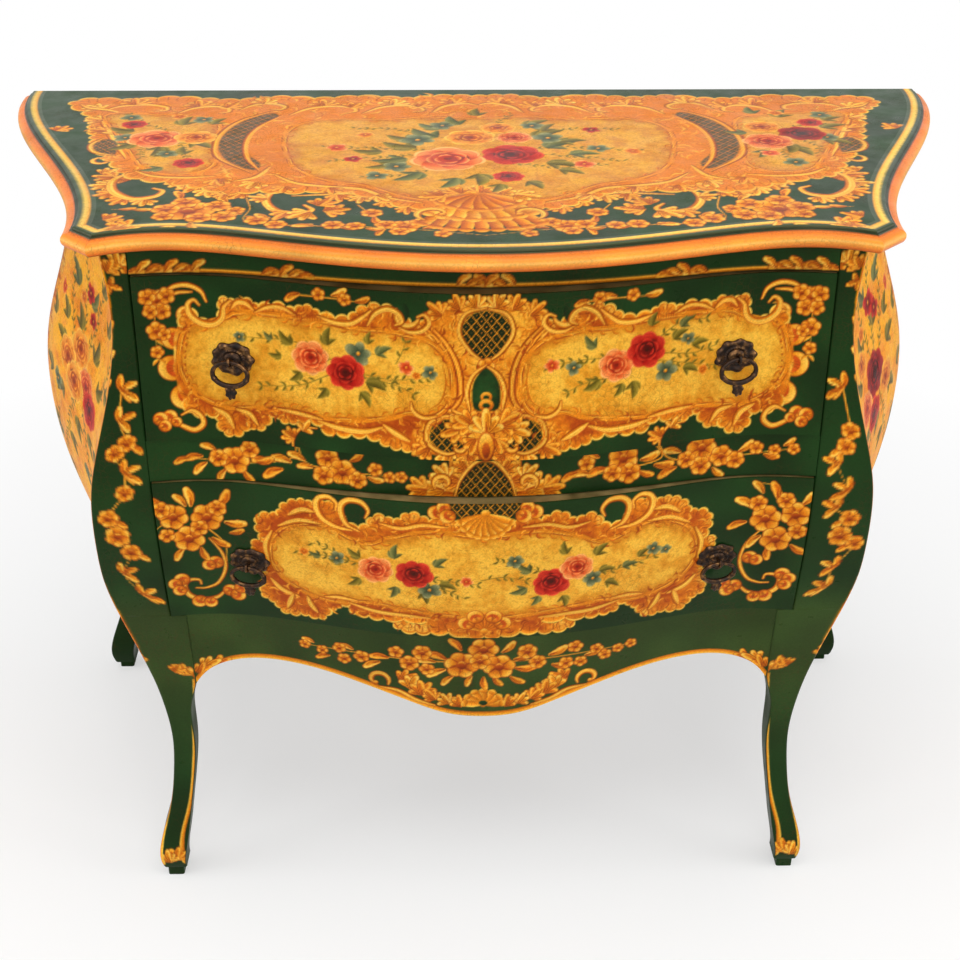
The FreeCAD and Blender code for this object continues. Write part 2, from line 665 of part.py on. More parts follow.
def handle_plate(label, frame):
    """Lobed cast plate, its back at local y = -plate_gap and its face towards -y."""
    body = doc.addObject("PartDesign::Body", label)
    disc = pad(body, label + "_disc", sketch_circle(body, label + "_disc_line", "plate_radius"),
               "plate_thickness")
    body.Tip = disc
    lobe_line = sketch_circle(body, label + "_lobe_line", "lobe_radius", "plate_radius")
    lobe = pad(body, label + "_lobe", lobe_line, "plate_thickness * 0.8")
    body.Tip = lobe
    doc.recompute()
    ring = body.newObject("PartDesign::PolarPattern", label + "_lobes")
    ring.Originals = [lobe]
    ring.Axis = ([item for item in body.Origin.OriginFeatures if item.Role == "Y_Axis"][0], [""])
    ring.Angle = 360
    ring.Occurrences = 10
    body.Tip = ring
    doc.recompute()
    dome = pad(body, label + "_dome", sketch_circle(body, label + "_dome_line", "plate_dome"),
               "plate_thickness * 1.7")
    body.Tip = dome
    doc.recompute()
    hole = body.newObject("PartDesign::Pocket", label + "_hole")
    hole.Profile = sketch_circle(body, label + "_hole_line", "bolt_radius + bolt_fit")
    hole.Type = 1
    hole.Midplane = True
    body.Tip = hole
    doc.recompute()
    body.Placement = frame.multiply(Placement(Vector(0, -size("plate_gap"), 0), Rotation()))
    return node(body)


def eye_bolt(label, frame):
    eye = primitive("Part::Torus", label + "_eye", turn=Rotation(Vector(0, 1, 0), 90), Radius1="eye_ring",
                    Radius2="eye_wire", place=("0", "0 - eye_reach", "0"))
    stem = primitive(
        "Part::Cylinder", label + "_stem", turn=Rotation(Vector(1, 0, 0), -90), Radius="bolt_radius",
        Height="eye_reach - eye_ring + drawer_front_thickness + nut_gap + nut_height + bolt_end",
        place=("0", "eye_ring - eye_reach", "0"))
    piece = fuse(label, [eye, stem])
    piece.Placement = frame
    return node(piece)


def ring_pull(label, frame):
    line = primitive("Part::Ellipse", label + "_line", turn=Rotation(Vector(1, 0, 0), 90),
                     MajorRadius="ring_half_width", MinorRadius="ring_half_height",
                     place=("0", "0 - eye_reach", "0 - ring_half_height"))
    wire = primitive("Part::Circle", label + "_wire", turn=Rotation(Vector(1, 0, 0), 0), Radius="ring_wire",
                     place=("ring_half_width", "0 - eye_reach", "0 - ring_half_height"))
    sweep = doc.addObject("Part::Sweep", label + "_sweep")
    sweep.Sections = [wire]
    sweep.Spine = (line, ["Edge1"])
    sweep.Solid = True
    sweep.Frenet = True
    drop = primitive("Part::Ellipsoid", label + "_drop", Radius1="drop_length", Radius2="drop_width",
                     Radius3="drop_depth",
                     place=("0", "0 - eye_reach", "0 - 2 * ring_half_height - drop_length * 0.85"))
    piece = fuse(label, [sweep, drop])
    piece.Placement = frame
    return node(piece)


def nut(label, frame):
    start = "drawer_front_thickness + nut_gap"
    blank = primitive("Part::Prism", label + "_hex", turn=Rotation(Vector(1, 0, 0), -90),
                      Circumradius="nut_radius", Height="nut_height", place=("0", start, "0"))
    blank.Polygon = 6
    hole = primitive("Part::Cylinder", label + "_hole", turn=Rotation(Vector(1, 0, 0), -90),
                     Radius="bolt_radius + bolt_fit", Height="nut_height + 2 * spare",
                     place=("0", start + " - spare", "0"))
    piece = cut(label, blank, hole)
    piece.Placement = frame
    return piece


# Drawers
HINGES = {}
for name, floor, bottom, top, ceiling, rise in (
        ("upper", "mid_top", "upper_bottom", "upper_top", "frieze_bottom", "upper_handle_rise"),
        ("lower", "apron_top", "lower_bottom", "lower_top", "mid_bottom", "lower_handle_rise")):
    label = name + "_drawer_"
    blank = common(label + "front_blank", [drawer_band, box(
        label + "front_block", ("0 - front_end", "0 - far", bottom), ("front_end", "far", top))])
    holes = []
    nuts = []
    for side, across in (("left", -size("handle_place")), ("right", size("handle_place"))):
        frame = handle_frame(across, size(bottom) + size(rise))
        hole = primitive("Part::Cylinder", label + "hole_" + side, Radius="bolt_radius + bolt_fit",
                         Height="3 * drawer_front_thickness")
        hole.Placement = frame.multiply(Placement(Vector(0, -size("drawer_front_thickness"), 0),
                                                  Rotation(Vector(1, 0, 0), -90)))
        holes.append(hole)
        nuts.append(nut(label + "nut_" + side, frame))
        handle = "%s_%s_" % (name, side)
        handle_plate(handle + "handle_plate", frame)
        eye_bolt(handle + "eye_bolt", frame)
        ring_pull(handle + "ring", frame)
        HINGES[handle + "ring"] = (frame.multVec(Vector(0, -size("eye_reach"), 0)),
                                   frame.Rotation.multVec(Vector(-1, 0, 0)))
    node(cut(label + "front", blank, group(label + "front_holes", holes)))
    node(group(label + "nuts", nuts))
    box_low = floor + " + run_gap"
    box_high = ceiling + " - box_top_gap"
    wall = node(common(label + "side_right", [drawer_hollow, box(
        label + "side_block", ("box_in", "0 - far", box_low), ("box_out", "box_back", box_high))]))
    node(mirrored(label + "side_left", wall))
    node(common(label + "bottom", [drawer_hollow, box(
        label + "bottom_block", ("0 - box_in", "0 - far", box_low + " + bottom_rise"),
        ("box_in", "box_back", box_low + " + bottom_rise + bottom_thickness"))]))
    node(box(label + "back",
             ("0 - box_in", "box_back - box_thickness", box_low + " + bottom_rise + bottom_thickness"),
             ("box_in", "box_back", box_high)))

doc.recompute()

# Every piece must be sound before it is written
faults = []
for item in doc.Objects:
    if "Invalid" in item.State or "Error" in item.State:
        faults.append(item.Label + " did not recompute")
for piece in NODES:
    if piece.Shape.isNull() or not piece.Shape.isValid() or not piece.Shape.Solids:
        faults.append(piece.Label + " has no sound solid")
if faults:
    raise RuntimeError("; ".join(faults))

os.makedirs("parts", exist_ok=True)
for piece in NODES:
    piece.Shape.exportStep("parts/" + piece.Label + ".step")
    bounds = piece.Shape.BoundBox
    print("%-28s solids %d volume %10.0f  x %.1f %.1f  y %.1f %.1f  z %.1f %.1f" % (
        piece.Label, len(piece.Shape.Solids), piece.Shape.Volume, bounds.XMin, bounds.XMax,
        bounds.YMin, bounds.YMax, bounds.ZMin, bounds.ZMax))
for name, (place, axis) in HINGES.items():
    print(name, [round(v / 1000, 5) for v in place], [round(v, 5) for v in axis])
print(len(NODES), "pieces")
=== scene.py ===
import math

import bmesh
import bpy
import numpy as np
from mathutils import Matrix, Vector
from mathutils.bvhtree import BVHTree


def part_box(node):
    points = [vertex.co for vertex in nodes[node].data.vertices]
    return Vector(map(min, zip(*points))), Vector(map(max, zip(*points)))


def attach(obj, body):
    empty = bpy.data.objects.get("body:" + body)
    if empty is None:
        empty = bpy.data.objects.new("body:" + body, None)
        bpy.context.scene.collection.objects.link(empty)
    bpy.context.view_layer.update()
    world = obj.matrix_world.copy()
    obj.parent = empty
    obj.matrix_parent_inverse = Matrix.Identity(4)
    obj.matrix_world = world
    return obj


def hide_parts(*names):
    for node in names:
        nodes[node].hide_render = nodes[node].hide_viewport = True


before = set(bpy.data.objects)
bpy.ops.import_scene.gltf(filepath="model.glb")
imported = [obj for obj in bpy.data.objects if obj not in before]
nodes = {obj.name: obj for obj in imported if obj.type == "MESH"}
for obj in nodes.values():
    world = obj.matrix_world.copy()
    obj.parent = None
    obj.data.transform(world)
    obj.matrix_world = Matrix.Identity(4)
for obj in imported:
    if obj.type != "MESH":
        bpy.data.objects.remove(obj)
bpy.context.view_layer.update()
MM = 0.001
PI = math.pi

# Paint tones as shown on a screen, 0 to 255: shade, body and light of each
GREENS = ((9, 31, 11), (16, 48, 17), (28, 67, 27))
# A lighter olive copy of the green ground: a painted reflection of the pale floor on the apron and on the
# posts beside it
FLOOR_SHEEN_GREENS = ((28, 45, 15), (44, 65, 25), (62, 84, 36))
OCHRE = ((164, 66, 6), (221, 120, 16), (246, 176, 52))
GOLD = ((188, 94, 10), (233, 143, 24), (252, 200, 80))
RUSSET = ((112, 34, 5), (172, 66, 10), (206, 102, 24))
CREAM = ((188, 103, 15), (222, 148, 34), (243, 184, 62))
PALE_CREAM = ((184, 97, 14), (209, 132, 27), (227, 160, 45))
SIDE_GOLD = ((202, 92, 4), (242, 142, 8), (253, 178, 26))
SHELL_HOLLOW = (OCHRE[1], (214, 92, 22), (196, 66, 14))
RED = ((88, 4, 5), (168, 14, 9), (224, 70, 42))
DARK_RED = ((56, 3, 5), (118, 9, 10), (188, 46, 32))
PINK = ((172, 34, 12), (222, 86, 34), (249, 178, 98))
ORANGE = ((172, 60, 6), (226, 120, 22), (250, 190, 76))
BLUE = ((46, 58, 38), (96, 104, 70), (160, 154, 98))
OLIVE_LEAF = ((66, 56, 10), (114, 98, 24), (164, 138, 50))
SEA_LEAF = ((52, 60, 30), (94, 98, 48), (142, 134, 70))
LATTICE_DARK = (62, 54, 22)


def tone(colours):
    return [np.asarray(colour, np.float32) / 255 for colour in colours]


def to_linear(colour):
    """Screen values to the linear ones that a shader takes."""
    colour = np.clip(colour, 0, 1)
    return np.where(colour < 0.04045, colour / 12.92, ((colour + 0.055) / 1.055) ** 2.4)


def shaded(shade, middle, light, lift):
    """A colour between shade and light: lift runs from -1 through 0, the middle, to 1."""
    return middle + (light - middle) * np.clip(lift, 0, 1) + (shade - middle) * np.clip(-lift, 0, 1)


def off(x, y, reach, aim):
    """The point at a distance from another, along an angle."""
    return x + reach * math.cos(aim), y + reach * math.sin(aim)


def smooth_line(points, gap):
    """Points close together on a smooth line through the given ones."""
    given = np.asarray(points, float)
    padded = np.vstack([2 * given[0] - given[1], given, 2 * given[-1] - given[-2]])
    runs = []
    for first, start, end, last in zip(padded, padded[1:], padded[2:], padded[3:]):
        count = max(2, int(np.hypot(*(end - start)) / gap))
        t = np.linspace(0, 1, count, endpoint=False)[:, None]
        bow = (2 * first - 5 * start + 4 * end - last) * t ** 2
        swing = (3 * start - first - 3 * end + last) * t ** 3
        runs.append(0.5 * (2 * start + (end - first) * t + bow + swing))
    return np.vstack(runs + [given[-1:]])


def closed_line(points, gap):
    """The same for an outline that ends where it began."""
    points = list(points)
    line = smooth_line(points[-2:] + points + points[:2], gap)
    half = len(line) // 2
    from_start = np.hypot(*(line - points[0]).T)
    return line[np.argmin(from_start[:half]):half + np.argmin(from_start[half:])]


def mirrored(half):
    """A closed outline from its right half, which starts and ends on the middle line."""
    return half + [(-x, y) for x, y in half[-2:0:-1]]


def left_to_right(half):
    """A line from left to right from its right half, which starts on the middle line."""
    return [(-x, y) for x, y in half[:0:-1]] + half


def mottle(shape, size, seed):
    """Soft random patches between 0 and 1, each about size steps wide."""
    draws = np.random.default_rng(seed)
    knots = draws.random((shape[0] // size + 3, shape[1] // size + 3)).astype(np.float32)
    down = np.arange(shape[0]) / size
    along = np.arange(shape[1]) / size
    row = down.astype(int)
    column = along.astype(int)
    down = (down - row) ** 2 * (3 - 2 * (down - row))
    along = (along - column) ** 2 * (3 - 2 * (along - column))
    rows = knots[row] * (1 - down)[:, None] + knots[row + 1] * down[:, None]
    return rows[:, column] * (1 - along) + rows[:, column + 1] * along


def soften(mask, reach):
    """A mask with its edge spread over a few steps."""
    span = 2 * reach + 1
    for axis in (0, 1):
        padded = np.pad(mask, [(reach + 1, reach) if a == axis else (0, 0) for a in (0, 1)], mode="edge")
        total = np.cumsum(padded, axis)
        size = total.shape[axis]
        ahead = np.take(total, range(span, size), axis)
        mask = (ahead - np.take(total, range(0, size - span), axis)) / span
    return mask


# Brush marks: edge blur and room round a mark in mm, points laid at one time, and the relief left
BLUR = 0.8
ROOM = 1.2
RUN = 14
BODY = 0.6


class Board:
    """A sheet of paint, laid out in millimetres, that is brushed first and then laid on a surface."""

    def __init__(self, left, right, low, high, grain, seed, greens=GREENS):
        self.left, self.low, self.grain = left, low, grain
        shape = (int((high - low) / grain) + 2, int((right - left) / grain) + 2)
        self.draws = np.random.default_rng(seed)
        ground = tone(greens)
        patches = mottle(shape, int(40 / grain), seed)[..., None]
        self.colour = ground[1] + (patches - 0.5) * (ground[2] - ground[0]) * 0.5
        self.colour = self.colour.astype(np.float32)
        self.relief = np.zeros(shape, np.float32)
        self.turn = 1

    def both_sides(self):
        """The right side as drawn, then the left as its mirror image."""
        for turn in (1, -1):
            self.turn = turn
            yield turn
        self.turn = 1

    def window(self, points, room):
        """The part of the board round some points, with its coordinates."""
        tall, wide = self.relief.shape
        low_x, low_y = points.min(0) - room
        high_x, high_y = points.max(0) + room
        first = max(int((low_x - self.left) / self.grain), 0)
        last = min(int((high_x - self.left) / self.grain) + 2, wide)
        under = max(int((low_y - self.low) / self.grain), 0)
        over = min(int((high_y - self.low) / self.grain) + 2, tall)
        if first >= last or under >= over:
            return None
        x = (self.left + self.grain * np.arange(first, last, dtype=np.float32))[None, :]
        y = (self.low + self.grain * np.arange(under, over, dtype=np.float32))[:, None]
        return (slice(under, over), slice(first, last)), x, y

    def lay(self, place, cover, colour, body):
        part = self.colour[place]
        part += cover[..., None] * (colour - part)
        self.relief[place] += cover * (body - self.relief[place])

    def brush(self, points, widths, tones=GOLD):
        """One stroke along a line, light on its left and shaded on its right."""
        line = smooth_line(points, max(0.8, 0.22 * max(widths))).astype(np.float32)
        line[:, 0] *= self.turn
        steps = np.linspace(0, 1, len(line))
        radius = np.interp(steps, np.linspace(0, 1, len(widths)), widths).astype(np.float32) / 2
        heading = np.gradient(line, axis=0)
        heading /= np.maximum(np.hypot(heading[:, 0], heading[:, 1]), 1e-6)[:, None]
        strength = 0.93 + 0.14 * self.draws.random()
        for start in range(0, max(len(line) - 1, 1), RUN):
            part = slice(start, start + RUN + 1)
            spot, size, way = line[part], radius[part], heading[part]
            found = self.window(spot, size.max() + ROOM)
            if found is None:
                continue
            place, x, y = found
            gap = np.hypot(x[..., None] - spot[:, 0], y[..., None] - spot[:, 1]) - size
            near = gap.argmin(-1)
            edge = np.take_along_axis(gap, near[..., None], -1)[..., 0]
            side = way[near, 0] * (y - spot[near, 1]) - way[near, 1] * (x - spot[near, 0])
            side = np.clip(self.turn * side / np.maximum(size[near], 0.4), -1, 1)[..., None]
            self.lay(place, np.clip(0.5 - edge / BLUR, 0, 1), shaded(*tone(tones), side) * strength, BODY)

    def dab(self, x, y, long, wide, aim, tones=GOLD):
        """An oval touch that lightens towards the way it aims."""
        x *= self.turn
        aim = aim if self.turn > 0 else PI - aim
        found = self.window(np.array([(x, y)], float), max(long, wide) + ROOM)
        if found is None:
            return
        place, right, up = found
        along = ((right - x) * math.cos(aim) + (up - y) * math.sin(aim)) / long
        aside = ((up - y) * math.cos(aim) - (right - x) * math.sin(aim)) / wide
        cover = np.clip((1 - np.hypot(along, aside)) * min(long, wide) / BLUR + 0.5, 0, 1)
        lift = np.clip(along + 0.25 * aside, -1, 1)[..., None]
        self.lay(place, cover, shaded(*tone(tones), lift), BODY)

    def inside(self, outline, x, y):
        held = np.zeros((y.shape[0], x.shape[1]), bool)
        for (x1, y1), (x2, y2) in zip(outline, np.roll(outline, -1, 0)):
            if y1 != y2:
                held ^= ((y1 > y) != (y2 > y)) & (x < (x2 - x1) * (y - y1) / (y2 - y1) + x1)
        return held.astype(np.float32)

    def fill(self, outline, tones, seed, speck, body, edge):
        """Ground inside an outline: the first tone towards its edge, the last inside, finely speckled."""
        outline = np.array(outline, float)
        outline[:, 0] *= self.turn
        place, x, y = self.window(outline, 2)
        held = self.inside(outline, x, y)
        first, middle, last = tone(tones)
        depth = soften(held, int(14 / self.grain))
        patches = mottle(held.shape, int(18 / self.grain), seed)
        patches = patches + 0.7 * mottle(held.shape, int(5 / self.grain), seed + 1)
        lift = np.clip(1.7 * (depth - 0.62) + 1.3 * (patches - 0.85), -1, 1)[..., None]
        colour = shaded(first, middle, last, lift)
        fine = mottle(held.shape, max(int(1.8 / self.grain), 2), seed + 2)
        specks = np.clip((fine - 0.7) * 3, 0, 1)[..., None] * speck
        colour = colour + (np.minimum(first, last) * 0.85 - colour) * specks
        self.lay(place, soften(held, max(int(edge / self.grain), 1)), colour, body)

    def field(self, points, tones, seed, speck=0.5, body=0.25, edge=1.0):
        """A reserve of pale ground, warmer towards its edge."""
        self.fill(closed_line(points, 4.0), tones, seed, speck, body, edge)

    def leafy(self, valleys, seed, bulge=0.5, most=7.0, inner=RUSSET[1]):
        """A mass of leaves: round lobes between the valleys of its outline, which runs anticlockwise."""
        valleys = np.asarray(valleys, float)
        outline = []
        lobes = []
        turns = np.linspace(0, PI, 9)
        for start, end in zip(valleys, np.roll(valleys, -1, 0)):
            chord = end - start
            size = np.hypot(*chord)
            out = np.array([chord[1], -chord[0]]) / size
            rise = min(bulge * size, most)
            along = chord * (0.5 - 0.5 * np.cos(turns))[:, None]
            arc = start + along + out * (rise * np.sin(turns))[:, None]
            outline += list(arc[:-1])
            lobes.append((start, arc, out, size))
        self.fill(outline, (GOLD[2], OCHRE[1], inner), seed, 0.3, BODY, 0.8)
        for step, (start, arc, out, size) in enumerate(lobes):
            if size < 40:
                kind = GOLD if step % 3 else OCHRE
                widths = [share * size for share in (0.1, 0.26, 0.3, 0.22, 0.08)]
                self.brush(arc - out * 0.16 * size, widths, (kind[2], kind[1], OCHRE[1]))
                self.brush(arc - out * 0.05 * size, (0.3, 1.4, 1.6, 1.2, 0.3), (GOLD[2],) * 3)
                inward = start - out * 0.75 * size
                bent = 0.5 * (start + inward) + 0.12 * (arc[-1] - start)
                self.brush([start, bent, inward], (1.6, 1.3, 0.5), RUSSET)
                centre = 0.5 * (arc[0] + arc[-1])
                self.brush([centre + out * 0.2 * size, centre - out * 0.5 * size], (0.3, 1.2, 0.4), RUSSET)

    def swirls(self, around, hole, count, size, dark=RUSSET):
        """Short curling strokes scattered over a mass of leaves, but not over the reserve in it."""
        around = np.asarray(around, float)
        hole = np.asarray(hole, float)
        low = around.min(0)
        spots = low + (around.max(0) - low) * self.draws.random((count, 2))
        x, y = spots[None, :, 0], spots[None, :, 1]
        kept = spots[(self.inside(around, x, y) > self.inside(hole, x, y))[0]]
        for step, (x, y) in enumerate(kept):
            long = size * (0.7 + 0.6 * self.draws.random())
            kind = (dark, GOLD, (dark[1], OCHRE[1], OCHRE[2]))[step % 3]
            aim = 2 * PI * self.draws.random()
            self.leaf(x, y, aim, long, 0.26 * long, kind, 0.5 if step % 2 else -0.5)

    def petal(self, x, y, r, aim):
        """A scalloped shell lobe: pale rim, red-brown hollow."""
        aim = math.radians(aim)
        back = off(x, y, -0.3 * r, aim)
        self.dab(x, y, r + 1.0, r + 1.0, aim, RUSSET)
        self.dab(x, y, r, r, aim)
        self.dab(*back, 0.72 * r, 0.76 * r, aim, SHELL_HOLLOW)
        self.dab(*off(*back, -0.3 * r, aim), 0.5 * r, 0.6 * r, aim, OCHRE)
        for fork in (-0.7, 0.0, 0.7):
            self.brush([off(x, y, -0.7 * r, aim), off(x, y, 0.55 * r, aim + fork)], (0.6, 1.2, 0.4), RUSSET)

    def lattice(self, points, step=10, ground=GREENS[0], strand=GOLD[1], knot=OCHRE[1]):
        """A net of slanting strands with a knot in every mesh."""
        outline = closed_line(points, 3.0)
        outline[:, 0] *= self.turn
        place, x, y = self.window(outline, 2)
        held = soften(self.inside(outline, x, y), 1)
        self.lay(place, held, tone([ground])[0], 0.2)
        one = ((x + 0.8 * y) / step) % 1
        two = ((x - 0.8 * y) / step) % 1
        apart = np.minimum(np.minimum(one, 1 - one), np.minimum(two, 1 - two)) * step
        self.lay(place, held * np.clip(1.5 - apart / 0.5, 0, 1), tone([strand])[0], BODY)
        dots = np.hypot(one - 0.5, two - 0.5) * step
        self.lay(place, held * np.clip(1.5 - dots / 0.7, 0, 1), tone([knot])[0], BODY)

    def leaf(self, x, y, aim, long, wide, tones, bend=0.25):
        """A leaf drawn from its stalk."""
        bow = (-math.sin(aim) * bend * long, math.cos(aim) * bend * long)
        tip = off(x, y, long, aim)
        middle = ((x + tip[0]) / 2 + 0.5 * bow[0], (y + tip[1]) / 2 + 0.5 * bow[1])
        self.brush([(x, y), middle, tip], [wide * share for share in (0.15, 0.7, 1.0, 0.9, 0.55, 0.1)],
            tones)

    def arc(self, x, y, reach, aim, span, widths, tones=GOLD):
        """A crescent touch about a middle, light on its outer side."""
        turns = np.linspace(aim + span, aim - span, 5)
        self.brush([off(x, y, reach, turn) for turn in turns], widths, tones)

    def rose(self, x, y, r, tones, aim):
        """A full rose: ragged outer petals with light rims about a wound heart."""
        shade, middle, light = tones
        deep = tuple(0.72 * part for part in shade)
        for step in range(7):
            way = aim + step * 2 * PI / 7
            long = r * (0.44 + 0.12 * self.draws.random())
            petal = (x + 0.56 * r * math.cos(way), y + 0.52 * r * math.sin(way))
            self.dab(*petal, long, 0.92 * long, way, (deep, middle, light))
            self.arc(*petal, 0.84 * long, way, 0.95, (0.04 * r, 0.15 * r, 0.04 * r), (middle, light, light))
        self.dab(x, y + 0.03 * r, 0.6 * r, 0.56 * r, PI / 2 + aim, (deep, shade, middle))
        for reach, count, wide in ((0.5, 5, 0.2), (0.3, 4, 0.16)):
            for step in range(count):
                way = aim + reach + step * 2 * PI / count
                widths = (0.04 * r, wide * r, wide * r, 0.04 * r)
                self.arc(x, y + 0.02 * r, reach * r, way, 0.62, widths, tones)
        self.dab(x, y + 0.06 * r, 0.14 * r, 0.12 * r, PI / 2, (deep, deep, shade))

    def gilt_rose(self, x, y, r, aim=0.0):
        """A gold flower of round lobes, edged and lined in russet."""
        count = 6 if r > 9 else 5
        for grow in (1.2, 0.0):
            for step in range(count):
                way = aim + step * 2 * PI / count
                size = 0.46 * r + grow
                tones = RUSSET if grow else (OCHRE if step % 2 else GOLD)
                self.dab(*off(x, y, 0.58 * r, way), size, size, way, tones)
        for step in range(count):
            way = aim + (step + 0.5) * 2 * PI / count
            self.brush([off(x, y, 0.25 * r, way), off(x, y, 0.8 * r, way)], (0.18 * r, 0.06 * r), RUSSET)
        self.dab(x, y, 0.36 * r, 0.34 * r, PI / 2, RUSSET)
        self.arc(x, y, 0.22 * r, PI / 2, 1.2, (0.05 * r, 0.18 * r, 0.05 * r))

    def blossom(self, x, y, r, tones, aim):
        """A small loose flower of five petals."""
        for step in range(5):
            way = aim + step * 2 * PI / 5 + 0.5 * (self.draws.random() - 0.5)
            size = r * (0.4 + 0.2 * self.draws.random())
            petal = off(x, y, 0.55 * r, way)
            self.dab(*petal, size, 0.8 * size, way, tones)
            widths = (0.04 * r, 0.14 * r, 0.04 * r)
            self.arc(*petal, 0.7 * size, way, 0.8, widths, (tones[1], tones[2], tones[2]))
        self.dab(x, y, 0.16 * r, 0.14 * r, PI / 2)

    def curl(self, x, y, r, start, sweep, wide):
        """A scroll that winds in to a round eye."""
        t = np.linspace(0, 1, 12)
        angle = start + sweep * t
        reach = r * (1 - 0.6 * t ** 1.3)
        line = np.column_stack([x + reach * np.cos(angle), y + reach * np.sin(angle)])
        self.scroll(line, wide)
        self.dab(*line[-1], 0.55 * wide, 0.55 * wide, PI / 2, RUSSET)
        self.dab(*line[-1], 0.42 * wide, 0.42 * wide, PI / 2)

    def lobe(self, x, y, aim, long, wide, tones, bend):
        """A round-ended leaf lobe, edged in russet, with a dark vein at its foot."""
        middle = off(x, y, 0.5 * long, aim)
        tip = off(*middle, 0.5 * long, aim + bend)
        inner = off(*middle, 0.32 * long, aim + bend)
        shares = (0.4, 0.8, 1.0, 0.7)
        self.brush([(x, y), middle, tip], [(wide + 1.8) * share for share in shares], RUSSET)
        self.brush([(x, y), middle, tip], [wide * share for share in shares],
            (tones[1], tones[2], tones[2]))
        self.brush([(x, y), middle, inner], [0.7 * wide * share for share in shares], tones)
        self.brush([(x, y), middle], (0.24 * wide, 0.22 * wide, 0.05 * wide), RUSSET)

    def acanthus(self, x, y, aim, size, tones, count):
        """A clump of leaf lobes fanned about one way, the middle lobe over the others."""
        half = (count - 1) / 2
        for step in sorted(range(count), key=lambda step: -abs(step - half)):
            lean = (step - half) / half
            long = size * (1.0 - 0.3 * abs(lean)) * (0.88 + 0.24 * self.draws.random())
            self.lobe(x, y, aim + 0.95 * lean, long, 0.42 * size, tones, 0.5 * lean)

    def plume(self, points, size, count, side):
        """A row of leaf lobes that overlap along one side of a rounded stem."""
        line = smooth_line(points, 1.0)
        heading = np.gradient(line, axis=0)
        for step in range(count):
            share = step / (count - 1)
            spot = int(share * 0.94 * (len(line) - 1))
            aim = math.atan2(heading[spot][1], heading[spot][0])
            long = size * (1.05 - 0.55 * abs(share - 0.4)) * (0.88 + 0.24 * self.draws.random())
            self.lobe(*line[spot], aim + side * (1.15 - 0.5 * share), long, 0.52 * long, GOLD, -0.9 * side)
        self.scroll(points, 0.39 * size)

    def scroll(self, points, wide, tones=GOLD):
        """A rib that swells in the middle, edged in russet, with a light line on it."""
        for grow, shades in ((1.6, RUSSET), (0.0, tones)):
            self.brush(points, [share * wide + grow for share in (0.3, 0.85, 1.0, 0.85, 0.35)], shades)
        self.brush(points, [share * wide for share in (0.05, 0.24, 0.28, 0.2, 0.05)], (tones[2],) * 3)

    def scrolls(self, ribs):
        """Several gold ribs, each with its width."""
        for points, wide in ribs:
            self.scroll(points, wide)

    def petals(self, lobes):
        """Several shell lobes."""
        for x, y, r, aim in lobes:
            self.petal(x, y, r, aim)

    def shell(self, x, y, r, low, high, count, tones):
        """A fan of ribs from one point."""
        for step in range(count):
            aim = low + (high - low) * step / (count - 1)
            wide = 1.15 * r * abs(high - low) / count
            end = off(x, y, r, aim)
            widths = (0.15 * wide, 0.6 * wide, wide, 0.8 * wide)
            self.brush([(x, y), off(x, y, 0.6 * r, aim), end], widths, tones)
            self.dab(*end, 0.32 * wide, 0.5 * wide, aim, tones)
        self.dab(x, y, 0.16 * r, 0.16 * r, PI / 2)

    def sprig(self, points, tones, leaf, every, stem=1.6):
        """A thin stem with small leaves by turns, and now and then a pair."""
        line = smooth_line(points, 1.0)
        heading = np.gradient(line, axis=0)
        self.brush(points, (stem, 0.8 * stem, 0.5 * stem), tones)
        for step in range(1, int(len(line) / every) + 1):
            spot = min(int(step * every), len(line) - 1)
            aim = math.atan2(heading[spot][1], heading[spot][0])
            side = 1 if step % 2 else -1
            for way in ((side, -side) if step % 3 == 0 else (side,)):
                self.leaf(*line[spot], aim + way * 0.8, leaf, 0.42 * leaf, tones, 0.2 * way)

    def read(self, right, up):
        """Colour and relief at points of the board, for the corners of a mesh."""
        tall, wide = self.relief.shape
        x = np.clip((right - self.left) / self.grain, 0, wide - 1.001)
        y = np.clip((up - self.low) / self.grain, 0, tall - 1.001)
        i, j = x.astype(int), y.astype(int)
        f, g = (x - i)[:, None], (y - j)[:, None]
        stack = np.dstack([to_linear(self.colour), self.relief])
        low = stack[j, i] * (1 - f) + stack[j, i + 1] * f
        high = stack[j + 1, i] * (1 - f) + stack[j + 1, i + 1] * f
        return (low * (1 - g) + high * g).astype(np.float32)


# Ornaments made of several marks
def leafage(board, clumps):
    """Acanthus clumps, each given by its foot, its way in degrees and its size."""
    for step, (x, y, aim, size) in enumerate(clumps):
        board.acanthus(x, y, math.radians(aim), size, GOLD if step % 3 == 1 else OCHRE,
            5 if size > 12 else 3)


def ragged(board, points, least, spread):
    """Points along a closed line at uneven steps, as valleys for a mass of leaves."""
    line = closed_line(points, 1.0)
    valleys = []
    spot = 0
    while spot < len(line) - least / 2:
        valleys.append(line[spot])
        spot += int(least + spread * board.draws.random())
    return valleys


